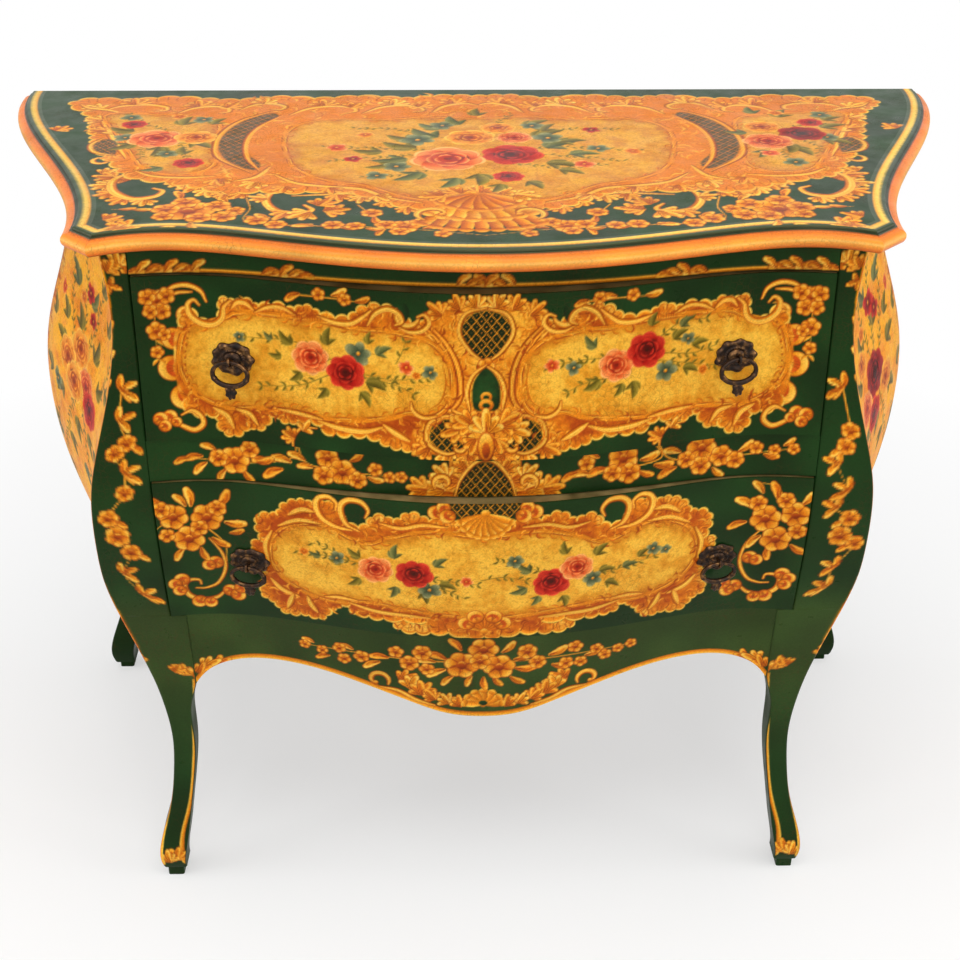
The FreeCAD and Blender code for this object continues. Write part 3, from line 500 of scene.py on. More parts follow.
def cartouche(board, points, size, seed, ground=CREAM):
    """A pale reserve with a soft ochre band and ribs round it; its outline runs anticlockwise."""
    line = closed_line(points, 1.0)
    heading = np.gradient(line, axis=0)
    outward = np.column_stack([heading[:, 1], -heading[:, 0]])
    ring = np.vstack([line[::4], line[:5]])
    board.brush(ring, (1.1 * size, 1.1 * size), (GOLD[1], OCHRE[1], OCHRE[0]))
    board.field(points, ground, seed, 0.5, 0.25, 2.4)
    for start in range(0, len(line), int(3.4 * size)):
        for shift, wide, shades in ((0.0, 1.6, RUSSET), (0.22, 2.4, GOLD), (0.5, 1.3, RUSSET)):
            reach = size * (2.2 + 1.6 * board.draws.random())
            marks = (start + np.arange(0, reach, 0.5 * size).astype(int)) % len(line)
            board.brush(line[marks] + shift * size * outward[marks], (0.2, wide, wide, 0.2), shades)
    for spot in range(0, len(line), int(1.2 * size)):
        if board.draws.random() < 0.6:
            way = math.atan2(heading[spot][1], heading[spot][0]) + (0.45 if spot % 2 else PI - 0.45)
            long = size * (0.7 + 0.6 * board.draws.random())
            tones = (OCHRE[0], OCHRE[1], ground[1])
            board.leaf(*line[spot], way, long, 0.3 * size, tones, 0.4 if spot % 2 else -0.4)


def bouquet(board, flowers, leaves, stems, buds):
    """Leaves and stems first, then the flowers over them."""
    for points in stems:
        board.sprig(points, OLIVE_LEAF, 7.0, 8.0, 1.1)
    for x, y, aim, long in leaves:
        kind = SEA_LEAF if (int(abs(x) + abs(y)) % 3 == 0) else OLIVE_LEAF
        aim = math.radians(aim)
        for fork, share in ((-0.75, 0.6), (0.7, 0.62), (0.0, 1.0)):
            board.leaf(*off(x, y, 0.15 * long, aim), aim + fork, share * long, 0.4 * share * long, kind)
    for x, y, r, tones in buds:
        board.blossom(x, y, r, tones, 0.4 + 0.1 * x)
    for x, y, r, tones in flowers:
        board.rose(x, y, r, tones, 0.13 * x)


def gold_spray(board, flowers, leaves, stems):
    """Ochre flowers with lobed ochre leaves on green."""
    for points in stems:
        board.brush(points, (2.0, 1.6, 1.0))
    for step, (x, z, aim, long) in enumerate(leaves):
        board.lobe(x, z, math.radians(aim), long, 0.5 * long, GOLD if step % 2 else OCHRE, 0.3)
    for x, z, r in flowers:
        board.gilt_rose(x, z, 1.15 * r, 0.3 * x)


# Surfaces read from the solids
def tree_of(name):
    shape = bmesh.new()
    shape.from_mesh(nodes[name].data)
    tree = BVHTree.FromBMesh(shape)
    shape.free()
    return tree


def fitted(terms, values):
    """Weights of the terms, fitted twice so that a bore or an edge does not pull the face."""
    weights = np.linalg.lstsq(terms, values, rcond=None)[0]
    good = np.abs(terms @ weights - values) < 0.6
    return np.linalg.lstsq(terms[good], values[good], rcond=None)[0]


def front_terms(x, z, middle):
    across = [(x / 400) ** power for power in (2, 4, 6, 8, 10, 12)]
    upward = [((z - middle) / 100) ** power for power in range(7)]
    return np.column_stack(across + upward)


def front_face(name):
    """The forward place of a front piece at (x, z), in mm: a curve across plus a curve upwards."""
    low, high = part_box(name)
    tree = tree_of(name)
    middle = (low.z + high.z) / 2 / MM
    found = []
    for x in np.linspace(low.x, high.x, 73)[1:-1]:
        for z in np.linspace(low.z, high.z, 17)[1:-1]:
            hit = tree.ray_cast(Vector((x, -1, z)), Vector((0, 1, 0)))[0]
            if hit is not None and hit.y < -0.13:
                found.append((x / MM, hit.y / MM, z / MM))
    x, y, z = np.array(found).T
    weights = fitted(front_terms(x, z, middle), y)
    return lambda x, z: front_terms(x, z, middle) @ weights


def swells(z):
    """Even smooth humps over the height of the case, which follow its profile closely."""
    humps = []
    for knot in range(250, 900, 25):
        t = np.abs(z - knot) / 25
        near = (4 - 6 * t ** 2 + 3 * t ** 3) / 6
        humps.append(np.where(t < 1, near, np.clip(2 - t, 0, 1) ** 3 / 6))
    return humps


def side_terms(y, z):
    y = y / 250
    upright = swells(z)
    return np.column_stack([y ** power for power in (2, 3, 4)] + upright + [y * hump for hump in upright])


def side_face(name):
    """The outward place of the right side at (y, z), in mm."""
    low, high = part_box(name)
    tree = tree_of(name)
    found = []
    for y in np.linspace(low.y, high.y, 25)[1:-1]:
        for z in np.linspace(low.z, high.z, 61)[1:-1]:
            hit = tree.ray_cast(Vector((1, y, z)), Vector((-1, 0, 0)))[0]
            if hit is not None:
                found.append((hit.x / MM, y / MM, z / MM))
    x, y, z = np.array(found).T
    terms = side_terms(y, z)
    count = len(swells(z))
    smooth = np.zeros((2 * (count - 2), terms.shape[1]))
    for part in range(2):
        for step in range(count - 2):
            first = 3 + part * count + step
            smooth[part * (count - 2) + step, first:first + 3] = 0.15, -0.3, 0.15
    good = np.full(len(x), True)
    for turn in range(2):
        rows = np.vstack([terms[good], smooth])
        weights = np.linalg.lstsq(rows, np.concatenate([x[good], np.zeros(len(smooth))]), rcond=None)[0]
        good = np.abs(terms @ weights - x) < 0.8
    return lambda y, z: side_terms(y, z) @ weights


def cut_points(name, axis, at):
    """Corners of the section of a solid by a plane across one axis, in mm."""
    shape = bmesh.new()
    shape.from_mesh(nodes[name].data)
    spot, normal = Vector((0, 0, 0)), Vector((0, 0, 0))
    spot[axis], normal[axis] = at * MM, 1
    geometry = shape.verts[:] + shape.edges[:] + shape.faces[:]
    cut = bmesh.ops.bisect_plane(shape, geom=geometry, plane_co=spot, plane_no=normal)["geom_cut"]
    points = np.array([tuple(part.co / MM) for part in cut if isinstance(part, bmesh.types.BMVert)])
    shape.free()
    return points


def lower_edge(name, axis, start, end, count):
    """Lowest height of a solid along an axis, from one end to the other."""
    places = np.linspace(start, end, count)
    heights = [cut_points(name, axis, place)[:, 2].min() for place in places]
    return places, np.array(heights)


# Meshes: every sheet and tube starts as a grid and is bent to its place
def grid_mesh(name, columns, rows):
    shape = bmesh.new()
    bmesh.ops.create_grid(shape, x_segments=columns, y_segments=rows, size=1.0)
    mesh = bpy.data.meshes.new(name)
    shape.to_mesh(mesh)
    shape.free()
    spots = np.empty(len(mesh.vertices) * 3, np.float32)
    mesh.vertices.foreach_get("co", spots)
    spots = spots.reshape(-1, 3)
    column = np.rint((spots[:, 0] + 1) / 2 * columns).astype(int)
    row = np.rint((spots[:, 1] + 1) / 2 * rows).astype(int)
    return mesh, column, row


def set_paint(mesh, places, paint):
    """Puts the corners of a mesh in place, in mm, with their paint."""
    mesh.vertices.foreach_set("co", (np.asarray(places, np.float32) * MM).ravel())
    layer = mesh.attributes.new("paint", "FLOAT_COLOR", "POINT")
    layer.data.foreach_set("color", np.ascontiguousarray(paint, np.float32).ravel())
    mesh.update()


def close_mesh(mesh):
    """Joins the seam of a bent grid and fills its open ends."""
    shape = bmesh.new()
    shape.from_mesh(mesh)
    bmesh.ops.remove_doubles(shape, verts=shape.verts[:], dist=1e-6)
    open_edges = [edge for edge in shape.edges if edge.is_boundary]
    bmesh.ops.holes_fill(shape, edges=open_edges, sides=0)
    bmesh.ops.recalc_face_normals(shape, faces=shape.faces[:])
    shape.to_mesh(mesh)
    shape.free()


def piece(mesh, material, body, slot, *stands_for, crease=40):
    """A finished piece on its body, with the solids it stands for hidden; its slot is not used."""
    mesh.shade_smooth()
    mesh.set_sharp_from_angle(angle=math.radians(crease))
    mesh.materials.append(material)
    thing = bpy.data.objects.new(mesh.name, mesh)
    bpy.context.scene.collection.objects.link(thing)
    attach(thing, body)
    if stands_for:
        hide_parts(*stands_for)
    return thing


PROUD = 0.35
SKIRT = 1.6


def skirted_grid(name, columns, rows):
    """A grid with one more row all round for its rim: shares across and up, and which corners are rim."""
    mesh, column, row = grid_mesh(name, columns + 2, rows + 2)
    s = np.clip((column - 1) / columns, 0, 1)
    t = np.clip((row - 1) / rows, 0, 1)
    rim = (column == 0) | (column == columns + 2) | (row == 0) | (row == rows + 2)
    return mesh, s, t, rim


def painted_sheet(name, columns, rows, surface, back, board, material, body, slot):
    """A painted skin on a solid: a grid laid on its face, with its rim turned back into the wood."""
    mesh, s, t, rim = skirted_grid(name, columns, rows)
    places, across, up = surface(s, t)
    places[rim] += np.asarray(back)
    set_paint(mesh, places, board.read(across, up))
    return piece(mesh, material, body, slot)


def front_sheet(name, node, board, spacing, material, body, slot, low_edge=None):
    face = front_face(node)
    low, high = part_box(node)
    left, right = low.x / MM, high.x / MM
    bottom, top = low.z / MM, high.z / MM

    def surface(s, t):
        x = left + (right - left) * s
        base = bottom if low_edge is None else np.interp(np.abs(x), *low_edge)
        z = base + (top - base) * t
        return np.column_stack([x, face(x, z) - PROUD, z]), x, z

    columns = int((right - left) / spacing)
    rows = int((top - bottom) / spacing)
    return painted_sheet(name, columns, rows, surface, (0, SKIRT, 0), board, material, body, slot)


DRAWN_IN = 0.6


def side_sheet(name, sign, board, spacing, material, slot):
    node = "side_panel_right"
    face = side_face(node)
    low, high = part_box(node)
    front, rear, top = low.y / MM, high.y / MM, high.z / MM
    edge = lower_edge(node, 1, front + 0.5, rear - 0.5, 60)

    def surface(s, t):
        y = front + (rear - front) * (s if sign > 0 else 1 - s)
        base = np.interp(y, *edge)
        z = base + (top - base) * t
        return np.column_stack([sign * (face(y, z) + PROUD), y, z]), DRAWN_IN * y, z

    columns = int((rear - front) / spacing)
    rows = int(1.06 * (top - low.z / MM) / spacing)
    return painted_sheet(name, columns, rows, surface, (-sign * SKIRT, 0, 0), board, material, "carcass",
        slot)


# Corner posts: a rounded section at every height, with a step where the lower drawer runs over the apron
FOOT = 15.0
KNEE = 285.0
APRON_TOP = 398.0
STEP_HALF = 0.05
POST_TOP = 847.98
EDGE_ROUND = 3.2
PLAIN_STRIP = 190.0
FOOT_ROWS = [0.02, 1.0, FOOT - 1.0, FOOT - 0.05]


def post_rows(name, spacing):
    """Heights and a post's four corners at each: inner front, outer front, outer back, inner back."""
    heights = np.concatenate([FOOT_ROWS, np.arange(FOOT + 0.1, POST_TOP - 0.48, spacing), [POST_TOP]])
    corners = []
    for height in heights:
        cut = cut_points(name, 2, height)
        x, y = cut[:, 0], cut[:, 1]
        picks = [np.argmin(x + y), np.argmax(x - y), np.argmax(x + y), np.argmin(x - y)]
        corners.append(cut[picks, :2])
    corners = np.array(corners)
    cut_rows = corners[len(FOOT_ROWS):].copy()
    body = corners[len(FOOT_ROWS):]
    for corner in range(4):
        for axis in range(2):
            line = np.pad(cut_rows[:, corner, axis], 2, mode="edge")
            body[:, corner, axis] = np.convolve(line, np.ones(5) / 5, "valid")
    above_knee = heights[len(FOOT_ROWS):] > KNEE
    for corner in (0, 3):
        body[above_knee, corner] = cut_rows[above_knee, corner]
    body[:2] = cut_rows[:2]
    above = np.searchsorted(heights, APRON_TOP)
    steps = []
    for up, near in ((APRON_TOP - STEP_HALF, above - 1), (APRON_TOP + STEP_HALF, above)):
        share = (up - heights[above - 1]) / (heights[above] - heights[above - 1])
        row = corners[above - 1] * (1 - share) + corners[above] * share
        row[[0, 3]] = corners[near][[0, 3]]
        steps.append(row)
    heights = np.insert(heights, above, (APRON_TOP - STEP_HALF, APRON_TOP + STEP_HALF))
    return heights, np.insert(corners, above, steps, axis=0)


def rounded_section(corners, radius, counts):
    """One section as points with rounded corners, and the side that each point is on."""
    points, sides = [], []
    for step in range(4):
        before, here, after = corners[step - 1], corners[step], corners[(step + 1) % 4]
        back = (before - here) / np.hypot(*(before - here))
        forth = (after - here) / np.hypot(*(after - here))
        start, end = here + back * radius, here + forth * radius
        for t in np.linspace(0, 1, 7):
            points.append((1 - t) ** 2 * start + 2 * t * (1 - t) * here + t * t * end)
            sides.append(step if t > 0.5 else step - 1)
        next_back = (here - after) / np.hypot(*(here - after))
        stop = after + next_back * radius
        for t in np.arange(1, counts[step]) / counts[step]:
            points.append(end + (stop - end) * t)
            sides.append(step)
    points.append(points[0])
    sides.append(sides[0])
    return np.array(points), np.array(sides)


def corner_post(name, node, sign, board, spacing, counts, material):
    """A post with its leg and foot; its paint is laid by the distance from the outer front corner."""
    heights, corners = post_rows(node, spacing)
    ring_count = 4 * 6 + 4 + sum(count - 1 for count in counts)
    mesh, column, row = grid_mesh(name, ring_count, len(heights) - 1)
    places = np.empty((len(heights), ring_count + 1, 3))
    across = np.empty((len(heights), ring_count + 1))
    for step, (height, section) in enumerate(zip(heights, corners)):
        shortest = min(np.hypot(*(section[k] - section[k - 1])) for k in range(4))
        ring, sides = rounded_section(section, min(EDGE_ROUND, 0.22 * shortest), counts)
        places[step, :, :2] = ring
        places[step, :, 2] = height
        outer = section[1]
        distance = np.hypot(ring[:, 0] - outer[0], ring[:, 1] - outer[1])
        across[step] = np.where(sides == 0, -distance, np.where(sides == 1, distance, PLAIN_STRIP))
    spots = places[row, column]
    spots[:, 0] *= sign
    set_paint(mesh, spots, board.read(across[row, column], spots[:, 2]))
    close_mesh(mesh)
    return piece(mesh, material, "carcass", "green_paint",
        node if sign > 0 else node.replace("right", "left"))


# Table board and its mouldings, from one outline
TIP_X = 402.6
CORNER_Y = -217.3
CANT_ACROSS = 22.0
CANT_BACK = 21.0
HEEL_X = 548.0
BACK_Y = 274.0
MITRE = 0.4
INSET = 16.0
TOP = 870.0
UNDER = 848.0
LIP = 13.55
HALF_WIDTH = 540.0
DEPTH = 490.0


def table_marks(out):
    corner = np.array([TIP_X - CANT_ACROSS + MITRE * out, CORNER_Y - out])
    tip = np.array([TIP_X + out, CORNER_Y + CANT_BACK - MITRE * out])
    heel = np.array([HEEL_X + out, BACK_Y])
    return corner, tip, heel


def table_front():
    """Front line of the board as a curve over its share of the half width, less the corner's place."""
    tree = tree_of("top_panel")
    corner = table_marks(-INSET)[0]
    shares = np.linspace(0, 0.995, 90)
    found = []
    for share in shares:
        start = Vector((share * corner[0] * MM, -0.1, 0.86))
        found.append(tree.ray_cast(start, Vector((0, -1, 0)))[0].y / MM - corner[1])
    powers = (0, 2, 4, 6, 8, 10)
    weights = np.linalg.lstsq(np.column_stack([shares ** power for power in powers]), np.array(found),
        rcond=None)[0]
    return lambda share: sum(weight * share ** power for weight, power in zip(weights, powers))


front_line = table_front()


def outline_point(part, s, out):
    """A point of the table's outline at an offset: part is front, corner or side, s runs along it."""
    corner, tip, heel = table_marks(0)
    lean = MITRE * out
    if part == "front":
        share = 1 - 2 * s
        return share * (corner[0] + lean), front_line(np.abs(share)) + corner[1] - out
    if part == "corner":
        x = corner[0] + lean + (tip[0] + out - corner[0] - lean) * s
        return x, corner[1] - out + (tip[1] - lean - corner[1] + out) * s
    low = tip[1] - lean
    reach = (heel[1] - low) / 3
    x = ((tip[0] + out) * ((1 - s) ** 3 + 3 * s * (1 - s) ** 2)
         + (heel[0] + out) * (3 * s * s * (1 - s) + s ** 3))
    y = (low * (1 - s) ** 3 + 3 * (low + reach) * s * (1 - s) ** 2
         + 3 * (heel[1] - reach) * s * s * (1 - s) + heel[1] * s ** 3)
    return x, y


def moulding_profile():
    """Points of the moulding's section as offset and height, and where each stretch ends."""
    flat = [(-INSET + 2 * step, TOP) for step in range(8)] + [(-0.6, TOP), (0.0, TOP - 0.1)]
    bead = smooth_line([(0.0, TOP - 0.1), (1.37, 868.9), (1.92, 867.14)], 0.5)
    ledge = [(1.92, 867.14), (3.0, 867.05), (3.97, 866.92)]
    cove = smooth_line([(3.97, 866.92), (4.66, 865.6), (6.03, 864.28)], 0.5)
    shelf = [(6.03, 864.28), (7.0, 864.2), (7.9, 864.06)]
    torus = smooth_line([
        (7.9, 864.06), (10.8, 862.7), (12.88, 860.5), (LIP, 857.5), (13.0, 854.2), (10.96, 851.1),
        (8.22, 849.1), (4.93, UNDER)], 0.8)
    under = [(4.93, UNDER), (-6.0, UNDER), (-INSET, UNDER), (-INSET, TOP)]
    line = [flat[0]]
    for point in flat[1:] + [tuple(p) for p in np.vstack([bead, ledge, cove, shelf, torus])] + under:
        if np.hypot(point[0] - line[-1][0], point[1] - line[-1][1]) > 0.05:
            line.append(point)
    return np.array(line)


def moulding_paint(height, along, board, x, y, seed):
    """Green groove, orange cove and gold roll, with painted shade at the top of the cove and under the roll
    and a painted highlight along the roll's top, rubbed here and there.
    """
    paint = board.read(x, y)
    # Colours by height: the pale stop near the roll's widest point is a painted highlight, and the dark
    # stops at the top of the cove and under the roll are painted shade
    stops = ((TOP - 0.02, GREENS[1]), (868.4, GREENS[0]), (866.4, GREENS[0]), (865.9, OCHRE[0]),
        (864.3, (232, 118, 22)), (863.4, (240, 126, 26)), (861.0, (248, 150, 44)), (858.6, (252, 190, 96)),
        (856.6, (250, 160, 58)), (853.0, (238, 124, 28)), (850.4, (214, 98, 18)), (848.6, (140, 58, 12)))
    heights = np.array([stop[0] for stop in stops])[::-1]
    colours = np.array([stop[1] for stop in stops], float)[::-1] / 255
    shaded_band = np.column_stack([np.interp(height, heights, colours[:, channel]) for channel in range(3)])
    draws = np.random.default_rng(seed)
    waves = sum(np.sin(along * rate + draws.random() * 6) for rate in (0.011, 0.023, 0.047, 0.09)) / 4
    shaded_band = shaded_band * (0.96 + 0.07 * waves)[:, None]
    shaded_band = np.column_stack([to_linear(shaded_band), np.full(len(shaded_band), 0.4)])
    edge = (height < TOP - 0.05)[:, None]
    return np.where(edge, shaded_band, paint).astype(np.float32)


def table_moulding(name, part, sign, length, spacing, board, material, seed, node):
    profile = moulding_profile()
    columns = int(length / spacing)
    mesh, column, row = grid_mesh(name, columns, len(profile) - 1)
    out, height = profile[row].T
    x, y = outline_point(part, column / columns, out)
    x = x * sign
    places = np.column_stack([x, y, height])
    along = column / columns * length
    set_paint(mesh, places, moulding_paint(height, along, board, x, y, seed))
    close_mesh(mesh)
    return piece(mesh, material, "carcass", "gilt_moulding", node, crease=30)


def table_board(name, sign, spacing, board, material):
    """Half of the table board: a painted top with its edges and underside closed."""
    corner, tip = table_marks(-INSET)[:2]
    mesh, s, t, rim = skirted_grid(name, int(HALF_WIDTH / spacing), int(DEPTH / spacing))
    if sign < 0:
        s = 1 - s
    side_x, side_y = outline_point("side", np.linspace(0, 1, 400), -INSET)
    nominal = BACK_Y + (tip[1] - BACK_Y) * (1 - t)
    half = np.interp(nominal, side_y, side_x)
    x = half * s
    share = np.clip(x / corner[0], 0, 1)
    front = front_line(share) + corner[1]
    slant = np.clip((x - corner[0]) / (tip[0] - corner[0]), 0, 1)
    front = np.where(x > corner[0], corner[1] + (tip[1] - corner[1]) * slant, front)
    y = BACK_Y + (front - BACK_Y) * (1 - t)
    z = np.where(rim, UNDER, TOP)
    places = np.column_stack([x * sign, y, z])
    set_paint(mesh, places, board.read(x * sign, y))
    close_mesh(mesh)
    return piece(mesh, material, "carcass", "green_paint", "top_panel")


# Finishes
def link(tree, start, out, end, into):
    tree.links.new(start.outputs[out], end.inputs[into])


def add(tree, kind, **settings):
    made = tree.nodes.new(kind)
    for name, value in settings.items():
        setattr(made, name, value)
    return made


def scaled_noise(tree, coordinates, out, scale, detail=3.0):
    made = add(tree, "ShaderNodeTexNoise")
    made.inputs["Scale"].default_value = scale
    made.inputs["Detail"].default_value = detail
    link(tree, coordinates, out, made, "Vector")
    return made


def ranged(tree, source, out, low, high, start, end):
    made = add(tree, "ShaderNodeMapRange")
    for name, value in (("From Min", low), ("From Max", high), ("To Min", start), ("To Max", end)):
        made.inputs[name].default_value = value
    link(tree, source, out, made, "Value")
    return made


def maths(tree, operation, first, second):
    """A sum on two values; each is a number or a node with its output."""
    made = add(tree, "ShaderNodeMath", operation=operation)
    for place, value in enumerate((first, second)):
        if isinstance(value, tuple):
            tree.links.new(value[0].outputs[value[1]], made.inputs[place])
        else:
            made.inputs[place].default_value = value
    return made


def mixed(tree, blend, factor, first, second):
    made = add(tree, "ShaderNodeMix", data_type="RGBA", blend_type=blend)
    for place, value in ((0, factor), (6, first), (7, second)):
        if isinstance(value, tuple) and not isinstance(value[0], (int, float)):
            tree.links.new(value[0].outputs[value[1]], made.inputs[place])
        else:
            made.inputs[place].default_value = value
    return made


def screen(colour):
    return tuple(float(part) for part in to_linear(np.asarray(colour, float) / 255)) + (1.0,)


def ramped(tree, source, out, stops):
    """A colour ramp of three stops, each a place and a screen colour."""
    made = add(tree, "ShaderNodeValToRGB")
    link(tree, source, out, made, "Fac")
    made.color_ramp.elements.new(stops[1][0])
    for element, (spot, colour) in zip(made.color_ramp.elements, stops):
        element.position = spot
        element.color = screen(colour)
    return made


def new_group(name, inputs):
    """A finish group with its inputs, which puts out colour, roughness and height."""
    tree = bpy.data.node_groups.new(name, "ShaderNodeTree")
    for socket, kind in inputs:
        tree.interface.new_socket(socket, in_out="INPUT", socket_type="NodeSocket" + kind)
    for socket, kind in (("Colour", "Color"), ("Roughness", "Float"), ("Height", "Float")):
        tree.interface.new_socket(socket, in_out="OUTPUT", socket_type="NodeSocket" + kind)
    return tree, add(tree, "NodeGroupInput"), add(tree, "NodeGroupOutput")


def aged_varnish():
    """Group: old varnish over paint, with fine cracks, brush marks and grime."""
    tree, given, result = new_group("aged_varnish", (("Paint", "Color"), ("Relief", "Float")))
    place = add(tree, "ShaderNodeTexCoord")
    cracks = add(tree, "ShaderNodeTexVoronoi", feature="DISTANCE_TO_EDGE")
    cracks.inputs["Scale"].default_value = 150
    link(tree, place, "Object", cracks, "Vector")
    crack = ranged(tree, cracks, "Distance", 0.0, 0.045, 1.0, 0.0)
    where = ranged(tree, scaled_noise(tree, place, "Object", 14), "Fac", 0.45, 0.62, 0.0, 1.0)
    crack = maths(tree, "MULTIPLY", (crack, 0), (where, 0))
    grime = ranged(tree, scaled_noise(tree, place, "Object", 11, 5), "Fac", 0.45, 0.75, 0.0, 0.3)
    hairs = scaled_noise(tree, place, "Object", 520, 2)
    hair = ranged(tree, hairs, "Fac", 0.3, 0.7, 0.86, 1.1)
    tinted = mixed(tree, "MULTIPLY", (grime, 0), (given, "Paint"), screen((196, 170, 120)))
    brushed = add(tree, "ShaderNodeHueSaturation")
    link(tree, hair, 0, brushed, "Value")
    link(tree, tinted, 2, brushed, "Color")
    cracked = mixed(tree, "MIX", (maths(tree, "MULTIPLY", (crack, 0), 0.4), 0), (brushed, 0),
        screen((70, 40, 16)))
    link(tree, cracked, 2, result, "Colour")
    rough = ranged(tree, scaled_noise(tree, place, "Object", 45, 4), "Fac", 0.3, 0.7, 0.27, 0.42)
    rough = maths(tree, "ADD", (rough, 0), (maths(tree, "MULTIPLY", (given, "Relief"), 0.1), 0))
    rough = maths(tree, "ADD", (rough, 0), (maths(tree, "MULTIPLY", (crack, 0), 0.15), 0))
    link(tree, rough, 0, result, "Roughness")
    height = maths(tree, "ADD", (given, "Relief"), (maths(tree, "MULTIPLY", (hairs, "Fac"), 0.25), 0))
    height = maths(tree, "SUBTRACT", (height, 0), (maths(tree, "MULTIPLY", (crack, 0), 0.4), 0))
    link(tree, height, 0, result, "Height")
    return tree


def wood_grain():
    """Group: raw softwood with growth lines, pores and old dirt; the grain runs along local X."""
    tree, given, result = new_group("wood_grain", (("Vector", "Vector"),))
    stretch = add(tree, "ShaderNodeMapping")
    stretch.inputs["Scale"].default_value = (0.6, 14, 14)
    link(tree, given, "Vector", stretch, "Vector")
    lines = scaled_noise(tree, stretch, "Vector", 5.0, 6)
    lines.inputs["Distortion"].default_value = 1.2
    pores = scaled_noise(tree, stretch, "Vector", 42, 3)
    blend = maths(tree, "ADD", (maths(tree, "MULTIPLY", (lines, "Fac"), 0.75), 0),
                  (maths(tree, "MULTIPLY", (pores, "Fac"), 0.25), 0))
    stops = ((0.36, (78, 52, 32)), (0.5, (128, 92, 60)), (0.66, (164, 126, 86)))
    ramp = ramped(tree, blend, 0, stops)
    dirt = ranged(tree, scaled_noise(tree, given, "Vector", 6, 4), "Fac", 0.45, 0.75, 0.0, 0.55)
    soiled = mixed(tree, "MULTIPLY", (dirt, 0), (ramp, "Color"), screen((150, 128, 104)))
    link(tree, soiled, 2, result, "Colour")
    link(tree, ranged(tree, pores, "Fac", 0.3, 0.7, 0.55, 0.8), 0, result, "Roughness")
    link(tree, blend, 0, result, "Height")
    return tree


def new_finish(name):
    material = bpy.data.materials.new(name)
    material.use_nodes = True
    tree = material.node_tree
    shader = tree.nodes["Principled BSDF"]
    return material, tree, shader


def bump(tree, shader, source, out, strength, depth):
    made = add(tree, "ShaderNodeBump")
    made.inputs["Strength"].default_value = strength
    made.inputs["Distance"].default_value = depth
    link(tree, source, out, made, "Height")
    link(tree, made, "Normal", shader, "Normal")


def group_node(tree, group):
    made = add(tree, "ShaderNodeGroup")
    made.node_tree = group
    return made


AMBER = (0.95, 0.85, 0.5, 1.0)


def varnished(tree, shader, group, paint, relief, gloss, strength, depth):
    """Varnish over a paint colour, with its gloss and the depth of its brush marks."""
    varnish = group_node(tree, group)
    link(tree, *paint, varnish, "Paint")
    link(tree, *relief, varnish, "Relief")
    link(tree, varnish, "Colour", shader, "Base Color")
    link(tree, varnish, "Roughness", shader, "Roughness")
    shader.inputs["Specular IOR Level"].default_value = gloss
    shader.inputs["Specular Tint"].default_value = AMBER
    bump(tree, shader, varnish, "Height", strength, depth)


def painted_finish(name, group, gloss):
    """Varnish over the paint that a piece carries at its corners."""
    material, tree, shader = new_finish(name)
    paint = add(tree, "ShaderNodeAttribute", attribute_type="GEOMETRY", attribute_name="paint")
    varnished(tree, shader, group, (paint, "Color"), (paint, "Alpha"), gloss, 0.35, 0.0006)
    return material


def green_finish(group):
    """Plain dark green paint for the edges and undersides of the rails."""
    material, tree, shader = new_finish("green_edge_paint")
    place = add(tree, "ShaderNodeTexCoord")
    patches = scaled_noise(tree, place, "Object", 9, 4)
    tones = mixed(tree, "MIX", (patches, "Fac"), screen(GREENS[0]), screen(GREENS[2]))
    varnished(tree, shader, group, (tones, 2), (patches, "Fac"), 0.2, 0.3, 0.0005)
    return material


def wood_finish(name, group, turn):
    material, tree, shader = new_finish(name)
    place = add(tree, "ShaderNodeTexCoord")
    along = add(tree, "ShaderNodeMapping")
    along.inputs["Rotation"].default_value = turn
    link(tree, place, "Object", along, "Vector")
    grain = group_node(tree, group)
    link(tree, along, "Vector", grain, "Vector")
    link(tree, grain, "Colour", shader, "Base Color")
    link(tree, grain, "Roughness", shader, "Roughness")
    bump(tree, shader, grain, "Height", 0.3, 0.0008)
    return material


def worn_edge_finish():
    """Old olive paint, rubbed to the wood, on the edges of the drawer fronts."""
    material, tree, shader = new_finish("worn_edge_paint")
    place = add(tree, "ShaderNodeTexCoord")
    patches = scaled_noise(tree, place, "Object", 30, 5)
    rubbed = ranged(tree, patches, "Fac", 0.35, 0.65, 0.0, 1.0)
    tones = mixed(tree, "MIX", (rubbed, 0), screen((74, 60, 24)), screen((128, 108, 62)))
    link(tree, tones, 2, shader, "Base Color")
    link(tree, ranged(tree, patches, "Fac", 0.3, 0.7, 0.45, 0.75), 0, shader, "Roughness")
    bump(tree, shader, patches, "Fac", 0.3, 0.0006)
    return material


def bronze_finish():
    """Old cast bronze: brown patina in dull patches, and rubbed spots."""
    material, tree, shader = new_finish("old_bronze")
    place = add(tree, "ShaderNodeTexCoord")
    patches = scaled_noise(tree, place, "Object", 160, 5)
    fine = scaled_noise(tree, place, "Object", 700, 3)
    stops = ((0.34, (26, 18, 13)), (0.52, (60, 42, 30)), (0.7, (128, 92, 56)))
    ramp = ramped(tree, patches, "Fac", stops)
    link(tree, ramp, "Color", shader, "Base Color")
    link(tree, ranged(tree, patches, "Fac", 0.3, 0.7, 0.5, 0.28), 0, shader, "Roughness")
    link(tree, ranged(tree, patches, "Fac", 0.3, 0.6, 0.65, 0.95), 0, shader, "Metallic")
    bump(tree, shader, fine, "Fac", 0.25, 0.0004)
    return material


varnish_group = aged_varnish()
grain_group = wood_grain()
lacquer = painted_finish("painted_lacquer", varnish_group, 0.15)
table_lacquer = painted_finish("table_lacquer", varnish_group, 0.17)
side_lacquer = painted_finish("side_lacquer", varnish_group, 0.04)
gilt_roll = painted_finish("gilt_roll_paint", varnish_group, 0.5)
green_edge = green_finish(varnish_group)
wood_across = wood_finish("raw_wood_across", grain_group, (0, 0, 0))
wood_deep = wood_finish("raw_wood_deep", grain_group, (0, 0, PI / 2))
worn_edge = worn_edge_finish()
bronze = bronze_finish()

